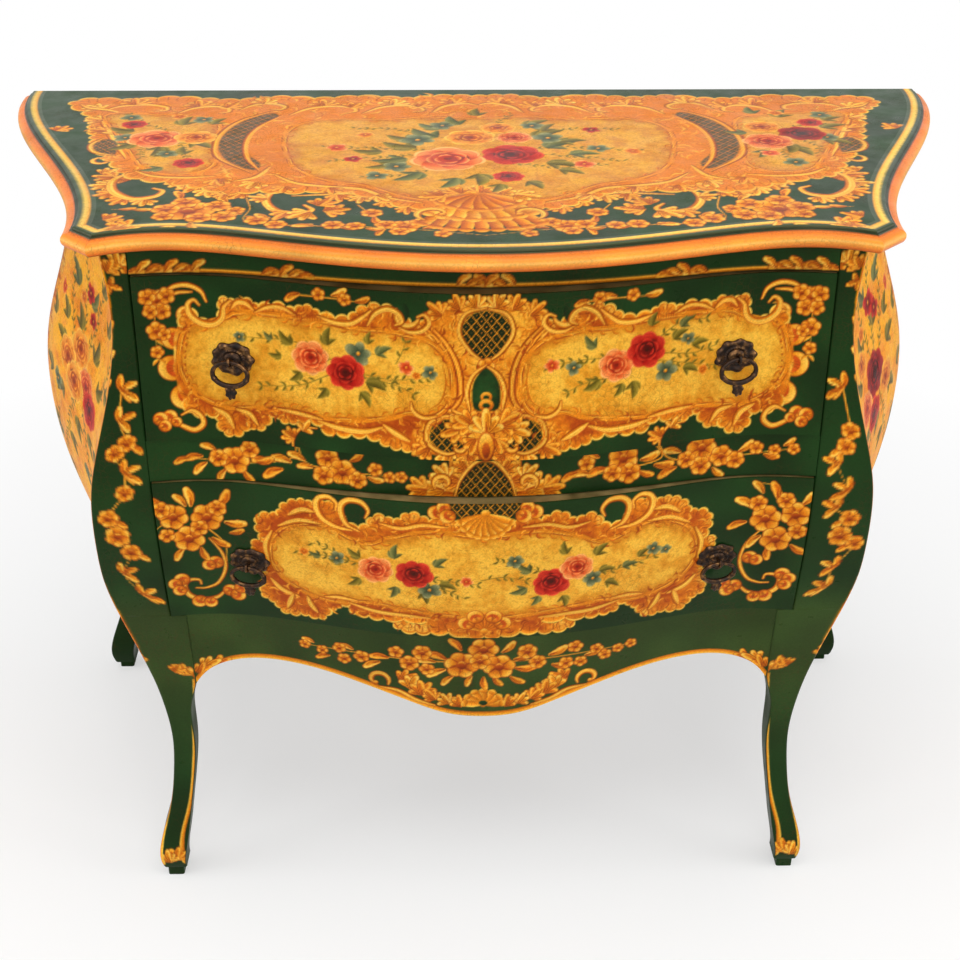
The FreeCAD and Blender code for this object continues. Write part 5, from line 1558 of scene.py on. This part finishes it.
def paint_table():
    board = Board(-566, 566, -262, 276, 0.75, 16)
    for part in ("front", "corner", "side"):
        for side in board.both_sides():
            s = np.linspace(0, 0.5 if part == "front" else 1, 40)
            x, y = outline_point(part, s, -7.5)
            board.brush(np.column_stack([x, y])[::-1], (7.5, 7.5), (GOLD[1], GOLD[2], GOLD[2]))
    for side in board.both_sides():
        leafage(board, [(486, 112, 120, 18), (404, -40, 130, 18), (376, -178, 150, 18)])
    paint_table_front(board)
    mass = mirrored(LEAF_MASS)
    board.leafy(ragged(board, mass, 14, 16), 44, 0.55, 10, OCHRE[1])
    board.swirls(mass, MIDDLE_RESERVE, 1500, 17, (RUSSET[2], OCHRE[1], GOLD[1]))
    for side in board.both_sides():
        for points in BACK_SCROLLS:
            board.scroll(points, 8)
        leafage(board, BACK_LEAVES)
        board.scrolls(
            [([(388, 10), (408, 60), (430, 120), (448, 172)], 7), ([(402, 96), (432, 104), (446, 124)], 6),
             ([(372, -30), (350, -48), (318, -54), (284, -50)], 7),
             ([(262, -66), (240, -52), (228, -20)], 7),
             ([(222, -44), (196, -72), (160, -84), (126, -92), (98, -118), (64, -134)], 8),
             ([(420, 176), (440, 190), (466, 200), (478, 214)], 7)])
        leafage(board,
            [(430, 110, 20, 20), (440, 150, 30, 20), (404, 36, -10, 20), (280, -60, -110, 20),
             (238, -70, -70, 20), (160, -88, -100, 18), (206, -84, -80, 18), (110, -112, -130, 18)])
        cartouche(board, SIDE_RESERVE, 10, 41, PALE_CREAM)
        board.lattice(
            [(244, -30), (266, -14), (284, 18), (293, 60), (289, 106), (274, 146), (246, 176), (236, 160),
             (256, 116), (262, 66), (256, 24), (240, -10)], 11, LATTICE_DARK, OCHRE[1], OCHRE[1])
        board.scroll([(238, -34), (256, 10), (263, 66), (256, 118), (232, 168)], 7, OCHRE)
        board.scroll([(246, -40), (287, 10), (297, 60), (293, 108), (277, 150), (246, 184)], 7, OCHRE)
        board.lattice([(404, 24), (424, 34), (432, 58), (424, 78), (408, 66)], 11, LATTICE_DARK, OCHRE[1],
            OCHRE[1])
        board.scroll([(402, 20), (427, 32), (436, 58), (426, 82)], 6)
        board.curl(412, 2, 12, 1.4, -4.6, 6)
    cartouche(board, MIDDLE_RESERVE, 11, 42, PALE_CREAM)
    board.shell(-4, -100, 112, -2.13, -1.01, 9, OCHRE)
    board.shell(-4, -100, 84, -2.25, -0.89, 8, GOLD)
    board.shell(-4, -104, 52, -2.5, -0.64, 7, OCHRE)
    leafage(board,
        [(-40, -112, 190, 24), (32, -112, -10, 24), (-4, -104, 90, 20), (-24, -106, 130, 20),
         (16, -106, 50, 20)])
    for sign in (1, -1):
        board.curl(sign * 46 - 4, -166, 19, -1.0 if sign > 0 else PI + 1.0, sign * 4.4, 8)
    bouquet(board,
        [(-10, 80, 28, ORANGE), (22, 116, 20, ORANGE), (40, 80, 20, PINK), (34, 18, 33, RED),
         (-36, 4, 40, PINK), (28, -54, 17, RED)],
        [(-66, 40, 150, 44), (-76, 8, 190, 40), (-60, -36, 220, 40), (-4, -40, 270, 38), (66, -8, -20, 40),
         (68, 40, 30, 42), (60, 76, 40, 44), (-44, 76, 130, 44), (-20, 124, 110, 36), (52, 120, 40, 36),
         (0, 160, 90, 30), (94, 20, 0, 34), (-104, 30, 170, 34), (20, -74, 250, 28), (46, -66, -60, 28),
         (-24, -54, 240, 36), (-70, 70, 150, 36), (84, 62, 10, 34), (-90, -10, 200, 34), (80, -30, -30, 30),
         (-40, 110, 140, 34), (70, 100, 60, 32)],
        [[(0, 20), (-90, 40), (-176, 48)], [(0, 10), (80, 44), (182, 32)],
         [(-10, 0), (-80, -44), (-130, -56)], [(10, 0), (80, -24), (134, -14)],
         [(10, 90), (25, 140), (40, 172)], [(-40, 80), (-90, 110), (-150, 118)],
         [(60, 90), (110, 112), (160, 110)], [(-60, 20), (-120, 10), (-170, 0)],
         [(70, 20), (120, 8), (160, -4)]],
        [(-160, 46, 13, PINK), (-112, -50, 13, BLUE), (132, 40, 14, BLUE), (112, -14, 13, PINK),
         (170, 30, 12, ORANGE), (-70, 72, 20, BLUE), (78, 78, 18, BLUE), (-130, 92, 11, ORANGE),
         (-92, -20, 16, BLUE), (62, 124, 14, BLUE), (-42, 126, 15, BLUE), (-140, 6, 10, RED),
         (130, 108, 11, RED)])
    bouquet(board,
        [(-366, 80, 32, PINK), (-322, 84, 23, ORANGE), (-318, -6, 17, RED), (-400, 134, 15, RED)],
        [(-392, 104, 150, 34), (-344, 126, 80, 34), (-330, 70, -40, 34), (-385, 66, 220, 34),
         (-326, 20, 100, 28), (-340, -20, 200, 26), (-312, 130, 60, 28), (-356, 56, 260, 34),
         (-340, 40, 230, 28)],
        [[(-340, 90), (-330, 40), (-316, -2)], [(-350, 100), (-390, 140), (-414, 176)],
         [(-360, 70), (-376, 40), (-372, 10)]],
        [(-402, 84, 13, BLUE), (-408, 160, 12, BLUE), (-346, 26, 12, BLUE), (-322, 152, 13, BLUE),
         (-352, 164, 10, ORANGE)])
    bouquet(board,
        [(330, 118, 22, ORANGE), (372, 92, 27, DARK_RED), (328, 64, 28, PINK), (390, 134, 15, RED)],
        [(394, 112, 20, 34), (356, 150, 70, 34), (312, 96, 170, 26), (348, 46, -60, 34), (318, 36, 250, 28),
         (388, 72, -30, 34), (332, 166, 100, 28), (350, 60, -100, 34), (404, 140, 30, 28)],
        [[(345, 90), (338, 40), (342, -18)], [(350, 100), (390, 140), (416, 178)],
         [(360, 80), (380, 50), (376, 20)]],
        [(344, -10, 14, BLUE), (408, 164, 13, BLUE), (398, 78, 13, BLUE), (322, 22, 11, PINK),
         (356, 172, 10, ORANGE)])
    return board


# Sides: pale gold ground with roses on tall stems, gold leaves along its edges
SIDE_GROUND = [
    (-100, 312), (-36, 322), (24, 350), (78, 340), (125, 318), (127, 420), (124, 520), (127, 620),
    (124, 720), (127, 838), (60, 842), (0, 838), (-48, 842), (-100, 840), (-101, 700), (-100, 560),
    (-101, 430)]
SIDE_LEAVES = [
    (-36, 620, 140, 26), (-18, 640, 100, 30), (20, 650, 60, 30), (44, 612, 10, 32), (36, 566, -40, 30),
    (0, 560, 260, 30), (-30, 566, 230, 28), (54, 640, 40, 28), (12, 690, 120, 28), (42, 690, 40, 34),
    (72, 560, 0, 32), (66, 500, -40, 28), (24, 520, 250, 28), (90, 620, 40, 28), (96, 480, -60, 28),
    (54, 460, 240, 28), (-48, 560, 200, 26), (-12, 510, 240, 28), (36, 740, 80, 28), (66, 740, 60, 26),
    (-14, 720, 110, 26), (-40, 690, 100, 24), (-60, 640, 160, 24)]
SIDE_STEMS = [
    [(10, 620), (22, 690), (44, 780)], [(18, 610), (54, 670), (84, 760)], [(6, 590), (36, 510), (72, 440)],
    [(60, 520), (90, 460), (102, 390)], [(0, 630), (-10, 690), (-24, 780)],
    [(-12, 580), (-36, 500), (-54, 440)], [(-54, 620), (-66, 690), (-70, 780)],
    [(-60, 560), (-70, 480), (-72, 400)]]


def paint_side(seed, roses, buds):
    board = Board(-92, 140, 286, 852, 0.8, seed)
    cartouche(board, SIDE_GROUND, 10, seed + 1, SIDE_GOLD)
    leafage(board, [(124, z, 180 + 20 * math.sin(z), 20) for z in range(340, 840, 26)])
    leafage(board, [(y, 842, 270 + 25 * math.sin(0.3 * y), 20) for y in range(-90, 130, 20)])
    leafage(board,
        [(y, 330 + 0.1 * (y + 90), 90 + 25 * math.sin(0.3 * y), 20) for y in range(-90, 130, 20)])
    leafage(board, [(-86, z, 10 + 30 * math.sin(z), 20) for z in range(700, 840, 22)])
    bouquet(board, roses, SIDE_LEAVES, SIDE_STEMS, buds)
    return board


# Heights where a post's green turns lighter olive and back again: a painted reflection of the pale floor
FLOOR_SHEEN_FADE = (150, 300, 400, 450)


def paint_post(seed, marks):
    """A post's two faces side by side: the front left of zero, the outer side right of it."""
    board = Board(-100, 200, 0, 852, 0.8, seed)
    # Towards the apron's height the green turns lighter olive: a painted reflection of the pale floor
    up = board.grain * np.arange(len(board.relief))
    share = np.interp(up, FLOOR_SHEEN_FADE, (0, 1, 1, 0))[:, None, None]
    board.colour += (share * (tone(FLOOR_SHEEN_GREENS)[1] - tone(GREENS)[1])).astype(np.float32)
    board.field(
        [(0.5, 330), (50, 322), (100, 330), (100, 848), (50, 849), (0.5, 848), (0.5, 700), (0.5, 500)],
        SIDE_GOLD, seed + 5)
    leafage(board, [(2, z, 10 + 30 * math.sin(z), 15) for z in range(836, 690, -16)])
    leafage(board, [(x, 326, 90 + 30 * math.sin(x), 16) for x in range(6, 100, 12)])
    board.brush(
        [(-47, 297), (-38, 262), (-29, 226), (-25.5, 180), (-24.5, 140), (-24, 100), (-24.5, 70), (-28, 42),
         (-30, 26)],
        (3, 5, 5, 5, 5, 5, 7))
    leafage(board,
        [(-40, 306, 100, 16), (-50, 300, 150, 18), (-30, 310, 130, 13), (-20, 30, 100, 18),
         (-12, 26, 80, 16)])
    board.brush([(0, 24), (0, 60), (1, 120), (0, 180)], (9, 5, 2, 1))
    leafage(board, [(-30, 822, 60, 14), (-18, 826, 90, 14), (-6, 820, 120, 14), (-3, 806, 200, 12)])
    roses = [mark for mark in marks if mark[2] > 7]
    leaves = [(x, z, aim, 15) for x, z, r in marks if r <= 7 for aim in (70, 140, 215)]
    leaves += [(x - 5, z - 4, 200, 14) for x, z, r in marks[::2]]
    stems = [[(x, z) for x, z, r in marks[:5]], [(x, z) for x, z, r in marks[4:]]]
    gold_spray(board, roses, leaves, stems)
    return board


LEFT_MARKS = [
    (-14, 692, 5), (-18, 657, 6), (-30, 632, 8), (-20, 620, 8), (-34, 596, 7), (-36, 572, 8), (-18, 540, 9),
    (-26, 516, 11), (-38, 494, 9), (-26, 462, 7), (-40, 430, 6)]
RIGHT_MARKS = [
    (-16, 690, 5), (-16, 640, 8), (-24, 622, 8), (-36, 600, 7), (-28, 568, 7), (-40, 545, 7), (-24, 532, 9),
    (-32, 508, 11), (-14, 498, 8), (-32, 462, 7), (-34, 432, 6)]

# The painted pieces
apron_edge = lower_edge("apron", 0, 0.5, 337.5, 120)
front_sheet("upper_drawer_painted_front", "upper_drawer_front", paint_upper_drawer(), 1.2, lacquer,
    "upper_drawer", "green_paint")
front_sheet("lower_drawer_painted_front", "lower_drawer_front", paint_lower_drawer(), 1.2, lacquer,
    "lower_drawer", "green_paint")
front_sheet("mid_rail_painted_face", "mid_rail", paint_mid_rail(), 1.3, lacquer, "carcass", "green_paint")
front_sheet("frieze_painted_face", "frieze_rail", paint_frieze(), 1.5, lacquer, "carcass", "green_paint")
front_sheet("apron_painted_face", "apron", paint_apron(apron_edge), 1.3, lacquer, "carcass", "green_paint",
    apron_edge)
left_roses = [
    (14, 634, 22, ORANGE), (40, 606, 22, ORANGE), (-12, 606, 20, PINK), (16, 590, 22, ORANGE),
    (-30, 590, 20, RED)]
left_buds = [
    (16, 704, 11, RED), (30, 690, 9, ORANGE), (84, 666, 10, PINK), (106, 420, 10, ORANGE),
    (72, 480, 12, BLUE), (0, 680, 9, RED), (60, 560, 12, BLUE)]
right_roses = [
    (4, 606, 26, DARK_RED), (-30, 640, 16, ORANGE), (-36, 590, 20, PINK), (34, 576, 20, ORANGE),
    (-10, 562, 20, RED)]
right_buds = [
    (20, 684, 15, RED), (34, 668, 12, RED), (84, 666, 10, PINK), (106, 420, 10, ORANGE),
    (72, 480, 12, BLUE), (-14, 668, 10, ORANGE)]
side_sheet("side_painted_face_left", -1, paint_side(51, left_roses, left_buds), 1.75, side_lacquer,
    "painted_side")
side_sheet("side_painted_face_right", 1, paint_side(55, right_roses, right_buds), 1.75, side_lacquer,
    "painted_side")
plain_post = Board(-100, 200, 0, 852, 2.0, 63)
for side, sign, marks in (("left", -1, LEFT_MARKS), ("right", 1, RIGHT_MARKS)):
    corner_post("front_corner_post_" + side, "front_post_right", sign, paint_post(61 + sign, marks), 2.0,
        (26, 26, 8, 8), lacquer)
    corner_post("rear_corner_post_" + side, "rear_post_right", sign, plain_post, 4.0, (8, 16, 16, 8),
        lacquer)
table_paint = paint_table()
for side, sign in (("left", -1), ("right", 1)):
    table_board("table_board_" + side, sign, 1.75, table_paint, table_lacquer)
    table_moulding("table_moulding_" + side, "side", sign, 500, 2.0, table_paint, gilt_roll, 71 + sign,
        "top_moulding_" + side)
    table_moulding("table_moulding_corner_" + side, "corner", sign, 30, 1.5, table_paint, gilt_roll,
        74 + sign, "top_moulding_corner_" + side)
table_moulding("table_moulding_front", "front", 1, 800, 2.0, table_paint, gilt_roll, 77,
    "top_moulding_front")


# Handles: rosette and ring built flat, then set square to the bowed front
def handle_frame(face, x, z):
    step = 1.0
    spot = np.array([x]), np.array([z])
    across = (face(spot[0] + step, spot[1]) - face(spot[0] - step, spot[1]))[0] / (2 * step)
    upward = (face(spot[0], spot[1] + step) - face(spot[0], spot[1] - step))[0] / (2 * step)
    side = Vector((1, across, 0)).normalized()
    deep = -Vector((across, -1, upward)).normalized()
    above = side.cross(deep)
    turn = Matrix((side, deep, above)).transposed().to_4x4()
    return Matrix.Translation(Vector((x, face(*spot)[0], z))) @ turn


def bent_grid(name, columns, rows, places):
    mesh, column, row = grid_mesh(name, columns, rows)
    mesh.vertices.foreach_set("co", np.asarray(places(column, row), np.float32).ravel())
    mesh.update()
    return mesh


PLATE_BACK = 1.2
PLATE_RADIUS = 21.0
PLATE_WIDER = 1.08
PLATE_LOWER = 0.86
LOBES = 9
ROSETTE_TURNS = 120
ROSETTE_ROWS = 20


def rosette_places(column, row):
    """A lobed dish with a beaded ring and a raised boss; the last rows close its back."""
    angle = column / ROSETTE_TURNS * 2 * PI
    share = np.clip(row / ROSETTE_ROWS, 0, 1)
    wave = 0.6 * np.cos(LOBES * angle) + 0.4 * np.cos(5 * angle + 1.2)
    radius = PLATE_RADIUS * share * (1 + 0.09 * (wave - 0.3) * np.clip(share * 2 - 0.8, 0, 1))
    boss = 3.1 * np.sqrt(np.clip(1 - (share / 0.40) ** 2, 0, 1))
    bead = (0.9 + 0.35 * np.cos(24 * angle)) * np.exp(-((share - 0.5) / 0.05) ** 2)
    lobes = (0.9 + 0.9 * wave) * np.exp(-((share - 0.8) / 0.14) ** 2)
    height = 1.9 + boss + bead + lobes - 1.1 * np.clip((share - 0.9) / 0.1, 0, 1)
    radius = np.where(row == ROSETTE_ROWS + 2, 0.0, radius)
    height = np.where(row > ROSETTE_ROWS, 0.0, height)
    x = PLATE_WIDER * radius * np.cos(angle)
    z = PLATE_LOWER * radius * np.sin(angle)
    return np.column_stack([x, -(PLATE_BACK + height), z])


RING_HALF_WIDE = 18.5
RING_HALF_TALL = 13.0
EYE_REACH = 13.0
RING_TURNS = 96
WIRE_SIDES = 12
DROP_TURNS = 48
DROP_ROWS = 16


def ring_places(column, row):
    """An oval ring, slim in its eye, with two knops and a thicker foot."""
    angle = column / RING_TURNS * 2 * PI
    around = row / WIRE_SIDES * 2 * PI
    low = 0.5 - 0.5 * np.sin(angle)
    knops = np.exp(-((np.abs(np.mod(angle + PI / 2, 2 * PI) - PI) - 2.0) / 0.12) ** 2)
    wire = 2.1 + 0.8 * low + 0.6 * knops
    out = wire * np.cos(around)
    x = (RING_HALF_WIDE + out) * np.cos(angle)
    z = (RING_HALF_TALL + out) * np.sin(angle) - RING_HALF_TALL
    return np.column_stack([x, -EYE_REACH + wire * np.sin(around), z])


def drop_places(column, row):
    """A leaf drop with a scalloped outline and a hollow down its middle."""
    angle = column / DROP_TURNS * 2 * PI
    tilt = (row / DROP_ROWS - 0.5) * PI
    flat = np.cos(tilt)
    scallop = 1 + 0.1 * np.cos(7 * angle)
    x = 6.0 * flat * np.cos(angle) * scallop
    z = 8.0 * flat * np.sin(angle) * scallop - 2 * RING_HALF_TALL - 6.8
    thick = 3.0 * np.sin(tilt) * (1 - 0.45 * np.exp(-((x / 1.5) ** 2)))
    return np.column_stack([x, -EYE_REACH + thick, z])


def joined(name, meshes, place):
    """Several closed forms as one mesh, set in its place."""
    shape = bmesh.new()
    for mesh in meshes:
        shape.from_mesh(mesh)
        bpy.data.meshes.remove(mesh)
    bmesh.ops.remove_doubles(shape, verts=shape.verts[:], dist=1e-4)
    bmesh.ops.recalc_face_normals(shape, faces=shape.faces[:])
    bmesh.ops.transform(shape, matrix=Matrix.Scale(MM, 4) @ place, verts=shape.verts[:])
    mesh = bpy.data.meshes.new(name)
    shape.to_mesh(mesh)
    shape.free()
    return mesh


HANDLE_PLACE = 258.0
HANDLE_RISE = {"upper": 728.0, "lower": 483.0}
for level, rise in HANDLE_RISE.items():
    bow = front_face(level + "_drawer_front")
    for side, sign in (("left", -1), ("right", 1)):
        label = level + "_" + side
        square = handle_frame(bow, sign * HANDLE_PLACE, rise)
        flat = bent_grid("rosette", ROSETTE_TURNS, ROSETTE_ROWS + 2, rosette_places)
        rosette = joined(label + "_rosette", [flat], square)
        piece(rosette, bronze, level + "_drawer", "old_bronze", label + "_handle_plate", crease=60)
        ring = bent_grid("ring", RING_TURNS, WIRE_SIDES, ring_places)
        drop = bent_grid("drop", DROP_TURNS, DROP_ROWS, drop_places)
        pull = joined(label + "_ring_pull", [ring, drop], square)
        piece(pull, bronze, label + "_ring", "old_bronze", label + "_ring", crease=60)


# Studio: pale floor, soft lamps and the camera
AIR = 0.25
CHEST_MIDDLE = (0, 0, 0.5)
CAMERA_PLACE = (-0.0412, -1.6122, 1.4033)
CAMERA_YAW = -0.0259
CAMERA_PITCH = 0.5267
CAMERA_ROLL = 0.0048
CAMERA_LENS = 57.02


def studio_floor():
    shape = bmesh.new()
    bmesh.ops.create_grid(shape, x_segments=8, y_segments=8, size=9.0)
    mesh = bpy.data.meshes.new("studio_floor")
    shape.to_mesh(mesh)
    shape.free()
    floor = bpy.data.objects.new("studio_floor", mesh)
    bpy.context.scene.collection.objects.link(floor)
    material, tree, shader = new_finish("pale_floor")
    place = add(tree, "ShaderNodeTexCoord")
    patches = scaled_noise(tree, place, "Object", 3, 2)
    tones = mixed(tree, "MIX", (patches, "Fac"), screen((240, 240, 239)), screen((244, 244, 243)))
    link(tree, tones, 2, shader, "Base Color")
    shader.inputs["Roughness"].default_value = 0.9
    far = add(tree, "ShaderNodeVectorMath", operation="LENGTH")
    link(tree, place, "Object", far, 0)
    spread = ranged(tree, far, "Value", 0.5, 1.5, 0.45, 1.0)
    path = add(tree, "ShaderNodeLightPath")
    seen = maths(tree, "MULTIPLY", (spread, 0), (path, "Is Camera Ray"))
    white = add(tree, "ShaderNodeEmission")
    blend = add(tree, "ShaderNodeMixShader")
    link(tree, seen, 0, blend, 0)
    tree.links.new(shader.outputs[0], blend.inputs[1])
    tree.links.new(white.outputs[0], blend.inputs[2])
    tree.links.new(blend.outputs[0], tree.nodes["Material Output"].inputs["Surface"])
    mesh.materials.append(material)


def soft_lamp(name, place, wide, tall, power):
    """A wide lamp that aims at the middle of the chest."""
    lamp = bpy.data.lights.new(name, "AREA")
    lamp.shape = "RECTANGLE"
    lamp.size = wide
    lamp.size_y = tall
    lamp.energy = power
    thing = bpy.data.objects.new(name, lamp)
    thing.location = place
    thing.rotation_mode = "QUATERNION"
    thing.rotation_quaternion = (Vector(CHEST_MIDDLE) - Vector(place)).to_track_quat("-Z", "Y")
    bpy.context.scene.collection.objects.link(thing)


def studio_world():
    world = bpy.data.worlds.new("studio_air")
    bpy.context.scene.world = world
    world.use_nodes = True
    tree = world.node_tree
    air = tree.nodes["Background"]
    path = add(tree, "ShaderNodeLightPath")
    seen = maths(tree, "MAXIMUM", (path, "Is Camera Ray"), (path, "Is Glossy Ray"))
    level = ranged(tree, seen, 0, 0.0, 1.0, AIR, 1.0)
    link(tree, level, 0, air, "Strength")
    air.inputs["Color"].default_value = (1, 1, 1, 1)


def photo_camera():
    """The camera stands where the photograph's outline puts it."""
    data = bpy.data.cameras.new("camera")
    data.sensor_width = 36.0
    data.lens = CAMERA_LENS
    level = Vector((math.cos(CAMERA_YAW), math.sin(CAMERA_YAW), 0))
    flat_ahead = Vector((-math.sin(CAMERA_YAW), math.cos(CAMERA_YAW), 0))
    ahead = flat_ahead * math.cos(CAMERA_PITCH) + Vector((0, 0, -math.sin(CAMERA_PITCH)))
    upward = level.cross(ahead)
    right = math.cos(CAMERA_ROLL) * level + math.sin(CAMERA_ROLL) * upward
    up = -math.sin(CAMERA_ROLL) * level + math.cos(CAMERA_ROLL) * upward
    turn = Matrix((right, up, -ahead)).transposed().to_4x4()
    camera = bpy.data.objects.new("camera", data)
    camera.matrix_world = Matrix.Translation(CAMERA_PLACE) @ turn
    bpy.context.scene.collection.objects.link(camera)
    bpy.context.scene.camera = camera


studio_floor()
studio_world()
soft_lamp("lamp_above", (0.0, -0.6, 3.2), 3.0, 2.4, 62)
soft_lamp("lamp_front", (0.3, -3.6, 2.2), 2.4, 1.8, 46)
soft_lamp("lamp_left", (-3.0, -0.6, 1.7), 1.6, 2.0, 34)
soft_lamp("lamp_right", (3.0, -0.6, 1.7), 1.6, 2.0, 34)
photo_camera()
bpy.context.scene.view_settings.view_transform = "Standard"
